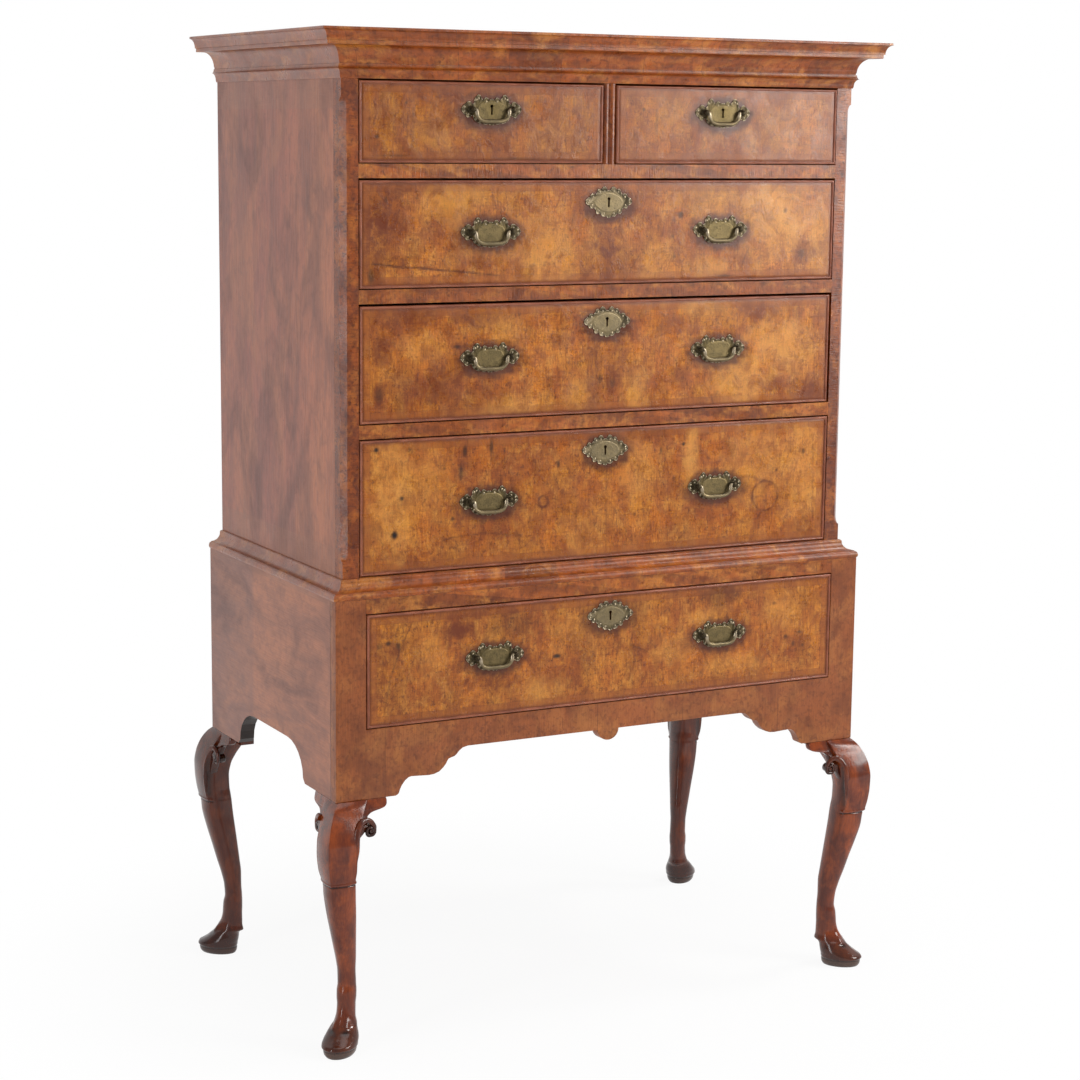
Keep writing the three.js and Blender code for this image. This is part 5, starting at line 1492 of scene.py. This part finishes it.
class HIGHBOY_OT_carcase(bpy.types.Operator):
    """Give the case, its rails, posts, sides, back and top their woods"""

    bl_idname = "highboy.carcase"
    bl_label = "Carcase"

    def execute(self, context):
        tones = context.scene.highboy_finish
        sides = side_veneer("faded_side_veneer", tones.side_hex, 0.0, (60, -230))
        level_sides = side_veneer("stand_side_veneer", tones.stand_side_hex, math.pi / 2, (88, 66))
        dressed = (
            (sides, ("case_side_left", "case_side_right")),
            (level_sides, ("stand_side_left", "stand_side_right")),
            (WOODS["rails"], ("case_bottom", "dustboard_lower", "dustboard_middle", "dustboard_upper",
                              "stand_top_rail")),
            (WOODS["posts"], ("corner_post_left", "corner_post_right")),
            (WOODS["pine_boards"], ("case_top", "stand_runner_left", "stand_runner_right")),
        )
        for material, nodes in dressed:
            for node in nodes:
                dress(node, material)
        self.backboards("case_back", "backboards_case", 4)
        self.backboards("stand_back", "backboards_stand", 2)
        self.divider()
        return {"FINISHED"}

    def backboards(self, node, name, count):
        """Rough boards side by side across a back, with open joints and nails at the ends and the middle."""
        low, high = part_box(node)
        pitch = (high.z - low.z) / count
        face = high.y - 0.8 * MM
        nail = [(2.4, 0.0), (2.6, -0.5), (1.6, -0.8), (0.3, -0.8)]
        parts = []
        for k in range(count):
            foot = low.z + k * pitch + 0.4 * MM
            head = foot + pitch - 0.8 * MM
            parts.append(eased_box((low.x, low.y, foot), (high.x, face, head), 1.2 * MM))
            for x in (low.x + 14 * MM, high.x - 14 * MM, (low.x + high.x) / 2):
                for share in (0.2, 0.8):
                    parts.append(turned_knob(nail, (x, face, foot + share * pitch), 10))
        make_piece(name, joined_parts(parts), WOODS["pine_boards"], CASE, [node], 30.0)

    def divider(self):
        """The partition between the short drawers: two reeds on its front edge, with a thin guide behind."""
        low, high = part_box("short_drawer_divider")
        half = (high.x - low.x) / 2
        turn = np.linspace(0, math.pi, 9)
        reed = np.column_stack([-half / 2 - half / 2 * np.cos(turn), -3.0 * MM * np.sin(turn)])
        front = np.vstack([reed, (reed * [-1, 1])[::-1][1:]])
        front[:, 1] += low.y + 3.0 * MM
        rear, guide = low.y + 24 * MM, 7.5 * MM
        behind = [[half, rear], [guide, rear], [guide, high.y]]
        plan = np.vstack([front, behind, [[-x, y] for x, y in reversed(behind)]])
        skin = loft(np.array([np.column_stack([plan, np.full(len(plan), z)]) for z in (low.z, high.z)]))
        stands_for = ["short_drawer_divider"]
        make_piece("reeded_divider", skin, WOODS["posts"], CASE, stands_for, 40.0)


class HIGHBOY_OT_mouldings(bpy.types.Operator):
    """Carry the cornice and the waist moulding round the case"""

    bl_idname = "highboy.mouldings"
    bl_label = "Mouldings"

    def execute(self, context):
        side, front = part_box("case_side_right")[1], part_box("corner_post_left")[0].y
        half, back = side.x, side.y
        # Both profiles are drawn in shares of their reach and rise, from a first point inside the case
        inside = 0.2
        low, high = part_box("cornice")
        foot, top = low.z / MM, high.z / MM
        reach, rise = (high.x - half) / MM, top - foot

        def at(a, b):
            return (reach * a, foot + rise * b)

        nose = quarter(at(0.06, 0.05), at(0.2, 0.2), True, 8)
        crown = quarter(at(0.2, 0.2), at(0.13, 0.29), False, 5)
        profile = np.vstack([
            [inside, foot], at(0.04, 0.0), nose, crown[1:], at(0.1, 0.295), at(0.1, 0.315),
            quarter(at(0.12, 0.32), at(0.5, 0.66), True, 16)[1:], at(0.755, 0.66), at(0.77, 0.675),
            at(0.77, 0.74), at(0.81, 0.745), quarter(at(0.81, 0.745), at(1.0, 0.95), True, 10)[1:],
            at(1.0, 0.985), at(0.985, 1.0), [inside, top],
        ])
        moulding("cornice_moulding", profile, half, front, back, ["cornice"])
        # The rail behind the cornice's foot spans the drawers' opening
        opening = 449.3 * MM
        rail_low = (-opening, front - 0.4 * MM, foot * MM)
        rail = eased_box(rail_low, (opening, front + 22 * MM, (top - 20.3) * MM), 0.6 * MM)
        make_piece("top_rail", rail, WOODS["rails"], CASE)
        low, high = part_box("waist_moulding")
        foot, rise = low.z / MM, (high.z - low.z) / MM
        reach = (high.x - half) / MM
        nose = quarter(at(0.97, 0.0), at(1.0, 0.09), True, 4)
        profile = np.vstack([
            [inside, foot], nose, quarter(at(1.0, 0.09), at(0.87, 0.33), True, 8)[1:], at(0.84, 0.36),
            at(0.8, 0.36), quarter(at(0.8, 0.38), at(0.2, 0.86), False, 14),
            quarter(at(0.2, 0.88), at(0.12, 0.98), True, 4), at(0.1, 1.0), [inside, foot + rise],
        ])
        moulding("waist_cove", profile, half, front, back, ["waist_moulding"])
        return {"FINISHED"}


# Right half of the apron's lower edge, from the pendant out: x as a share of half the width, and how far down
# it lies as a share of the apron's drop
APRON_EDGE = np.array([
    [0.53, 0.0], [0.549, 0.03], [0.562, 0.1], [0.572, 0.18], [0.58, 0.22], [0.589, 0.232], [0.6, 0.262],
    [0.604, 0.3], [0.609, 0.37], [0.619, 0.455], [0.634, 0.545], [0.653, 0.592], [0.672, 0.602],
    [0.7, 0.59], [0.735, 0.577], [0.745, 0.595], [0.757, 0.66], [0.768, 0.76], [0.775, 0.86], [0.778, 0.93],
    [0.782, 0.97], [0.79, 1.0], [1.0, 1.0],
])


class HIGHBOY_OT_stand(bpy.types.Operator):
    """Cut the apron of the stand with its ogee edge and pendant"""

    bl_idname = "highboy.stand"
    bl_label = "Stand"

    def execute(self, context):
        low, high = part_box("front_apron")
        drawer_low, drawer_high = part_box("drawer_front_stand")
        gap, drop, half = 1.5 * MM, 69.5 * MM, high.x
        right = np.column_stack([half * APRON_EDGE[:, 0], low.z + drop * (1 - APRON_EDGE[:, 1])])
        turn = np.linspace(math.pi, 2 * math.pi, 25)
        # The pendant is a half round, 40 mm wide and 19 mm deep
        pendant = np.column_stack([20 * MM * np.cos(turn), low.z + drop + 19 * MM * np.sin(turn)])
        inner, level = drawer_high.x + gap, drawer_low.z - gap
        opening = [[half, high.z], [inner, high.z], [inner, level]]
        mirrored = [[-x, z] for x, z in reversed(opening)]
        outline = np.vstack([(right * [-1, 1])[::-1], pendant, right, opening, mirrored])
        inward = 0
        for way in (outline - np.roll(outline, 1, 0), np.roll(outline, -1, 0) - outline):
            length = np.maximum(np.linalg.norm(way, axis=1), 1e-9)
            inward = inward + np.column_stack([-way[:, 1], way[:, 0]]) / length[:, None]
        inward /= np.maximum(np.linalg.norm(inward, axis=1), 1e-9)[:, None]
        # The board is 22 mm thick, with its edges eased
        rings = []
        for inset, depth in ((0.6, 0.0), (0.15, 0.2), (0.0, 0.7), (0.0, 21.4), (0.5, 22.0)):
            loop = outline + inward * inset * MM
            rings.append(np.column_stack([loop[:, 0], np.full(len(loop), low.y + depth * MM), loop[:, 1]]))
        skin = loft(np.array(rings))
        make_piece("apron_and_stiles", skin, WOODS["apron"], CASE, ["front_apron"], 25.0)
        return {"FINISHED"}


class HIGHBOY_OT_drawers(bpy.types.Operator):
    """Make the six drawer fronts with their beads, and their oak boxes, dovetails and locks"""

    bl_idname = "highboy.drawers"
    bl_label = "Drawers"

    def execute(self, context):
        sizes = context.scene.highboy_sizes
        veneer = drawer_veneer(context.scene.highboy_finish)
        oak = WOODS["drawer_oak"]
        iron = old_iron()
        for index, word in enumerate(DRAWERS):
            drawer_front(word, sizes, veneer, index)
            dress(f"drawer_box_{word}", oak)
            dovetails(word, oak)
            drawer_lock(word, iron)
        return {"FINISHED"}


class HIGHBOY_OT_brasses(bpy.types.Operator):
    """Make the cast plates, the keyhole plates and the swinging bails"""

    bl_idname = "highboy.brasses"
    bl_label = "Brasses"

    def execute(self, context):
        sizes = context.scene.highboy_sizes
        brass = old_brass(context.scene.highboy_finish)
        for word in DRAWERS:
            body = f"drawer_{word}"
            plates, key_plate = plate_names(word)
            for plate in plates:
                handle_plate(plate, body, sizes, brass)
                swan_neck_bail(plate.replace("handle_plate", "bail"), sizes, brass)
            if key_plate not in plates:
                escutcheon(key_plate, body, brass)
        return {"FINISHED"}


class HIGHBOY_OT_legs(bpy.types.Operator):
    """Carve the four legs with their ears, scrolls and hoofs"""

    bl_idname = "highboy.legs"
    bl_label = "Legs"

    def execute(self, context):
        sizes = context.scene.highboy_sizes
        wood = carved_walnut(context.scene.highboy_finish)
        leg, ear = leg_skin(sizes), ear_skin(sizes)
        # The knee is a little nearer on its side than on its front, and its scroll with it
        nearer = np.array([2, -2, 0]) * sizes.knee_shift
        beside = [leg, (swapped(ear[0]), ear[1])]
        beside += [(swapped(skin) + nearer, dark) for skin, dark in scroll_parts(7)]
        ahead = [*beside, ear, *scroll_parts(0)]
        apron_low, apron_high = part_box("front_apron")
        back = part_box("stand_back")[1].y
        for end, shapes, corner_y, flip_y in (("front", ahead, apron_low.y, 1), ("rear", beside, back, -1)):
            for word, side in SIDES.items():
                corner = (side * apron_high.x, corner_y, 0.0)
                flip = (-side, flip_y, 1.0)
                parts = [outwards(loft(skin * flip + corner)) for skin, _ in shapes]
                layers = {"hollow": np.concatenate([dark.ravel() for _, dark in shapes])}
                name = f"leg_{end}_{word}"
                whole = joined_parts(parts)
                make_piece(f"carved_{name}", whole, wood, CASE, [name], 40.0, layers)
                self.post(name, corner, flip, wood)
        return {"FINISHED"}

    def post(self, name, corner, flip, material):
        """The square top of the leg, standing inside the corner of the stand."""
        # Its near and far corners, inwards from the stand's corner, backwards and up, in mm
        ends = np.array([[26.2, 22.2, 402.0], [52.2, 72.2, 753.8]]) * MM * flip + corner
        post = eased_box(ends.min(0), ends.max(0), 1.0 * MM)
        make_piece(f"post_of_{name}", post, material, CASE)


def dress(node, material):
    """Gives a node of the frame its material."""
    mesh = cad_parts[node].data
    mesh.materials.clear()
    mesh.materials.append(material)


class HIGHBOY_PT_panel(bpy.types.Panel):
    """Buttons for each part of the highboy"""

    bl_label = "Walnut highboy"
    bl_idname = "HIGHBOY_PT_panel"
    bl_space_type = "VIEW_3D"
    bl_region_type = "UI"
    bl_category = "Highboy"

    def draw(self, context):
        for operator in OPERATORS:
            self.layout.operator(operator.bl_idname)
        for group in ("highboy_finish", "highboy_sizes", "highboy_studio"):
            box = self.layout.box()
            owner = getattr(context.scene, group)
            for key in owner.__annotations__:
                box.prop(owner, key)


GROUPS = {"highboy_finish": HighboyFinish, "highboy_sizes": HighboySizes, "highboy_studio": HighboyStudio}
OPERATORS = (
    HIGHBOY_OT_stage, HIGHBOY_OT_woods, HIGHBOY_OT_carcase, HIGHBOY_OT_mouldings, HIGHBOY_OT_stand,
    HIGHBOY_OT_drawers, HIGHBOY_OT_brasses, HIGHBOY_OT_legs,
)


def register():
    for made in (*GROUPS.values(), *OPERATORS, HIGHBOY_PT_panel):
        bpy.utils.register_class(made)
    for name, group in GROUPS.items():
        setattr(bpy.types.Scene, name, PointerProperty(type=group))


def unregister():
    for name in GROUPS:
        delattr(bpy.types.Scene, name)
    for made in reversed((*GROUPS.values(), *OPERATORS, HIGHBOY_PT_panel)):
        bpy.utils.unregister_class(made)


def main():
    """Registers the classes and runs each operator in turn."""
    register()
    for operator in OPERATORS:
        group, name = operator.bl_idname.split(".")
        getattr(getattr(bpy.ops, group), name)()


if __name__ == "__main__":
    main()
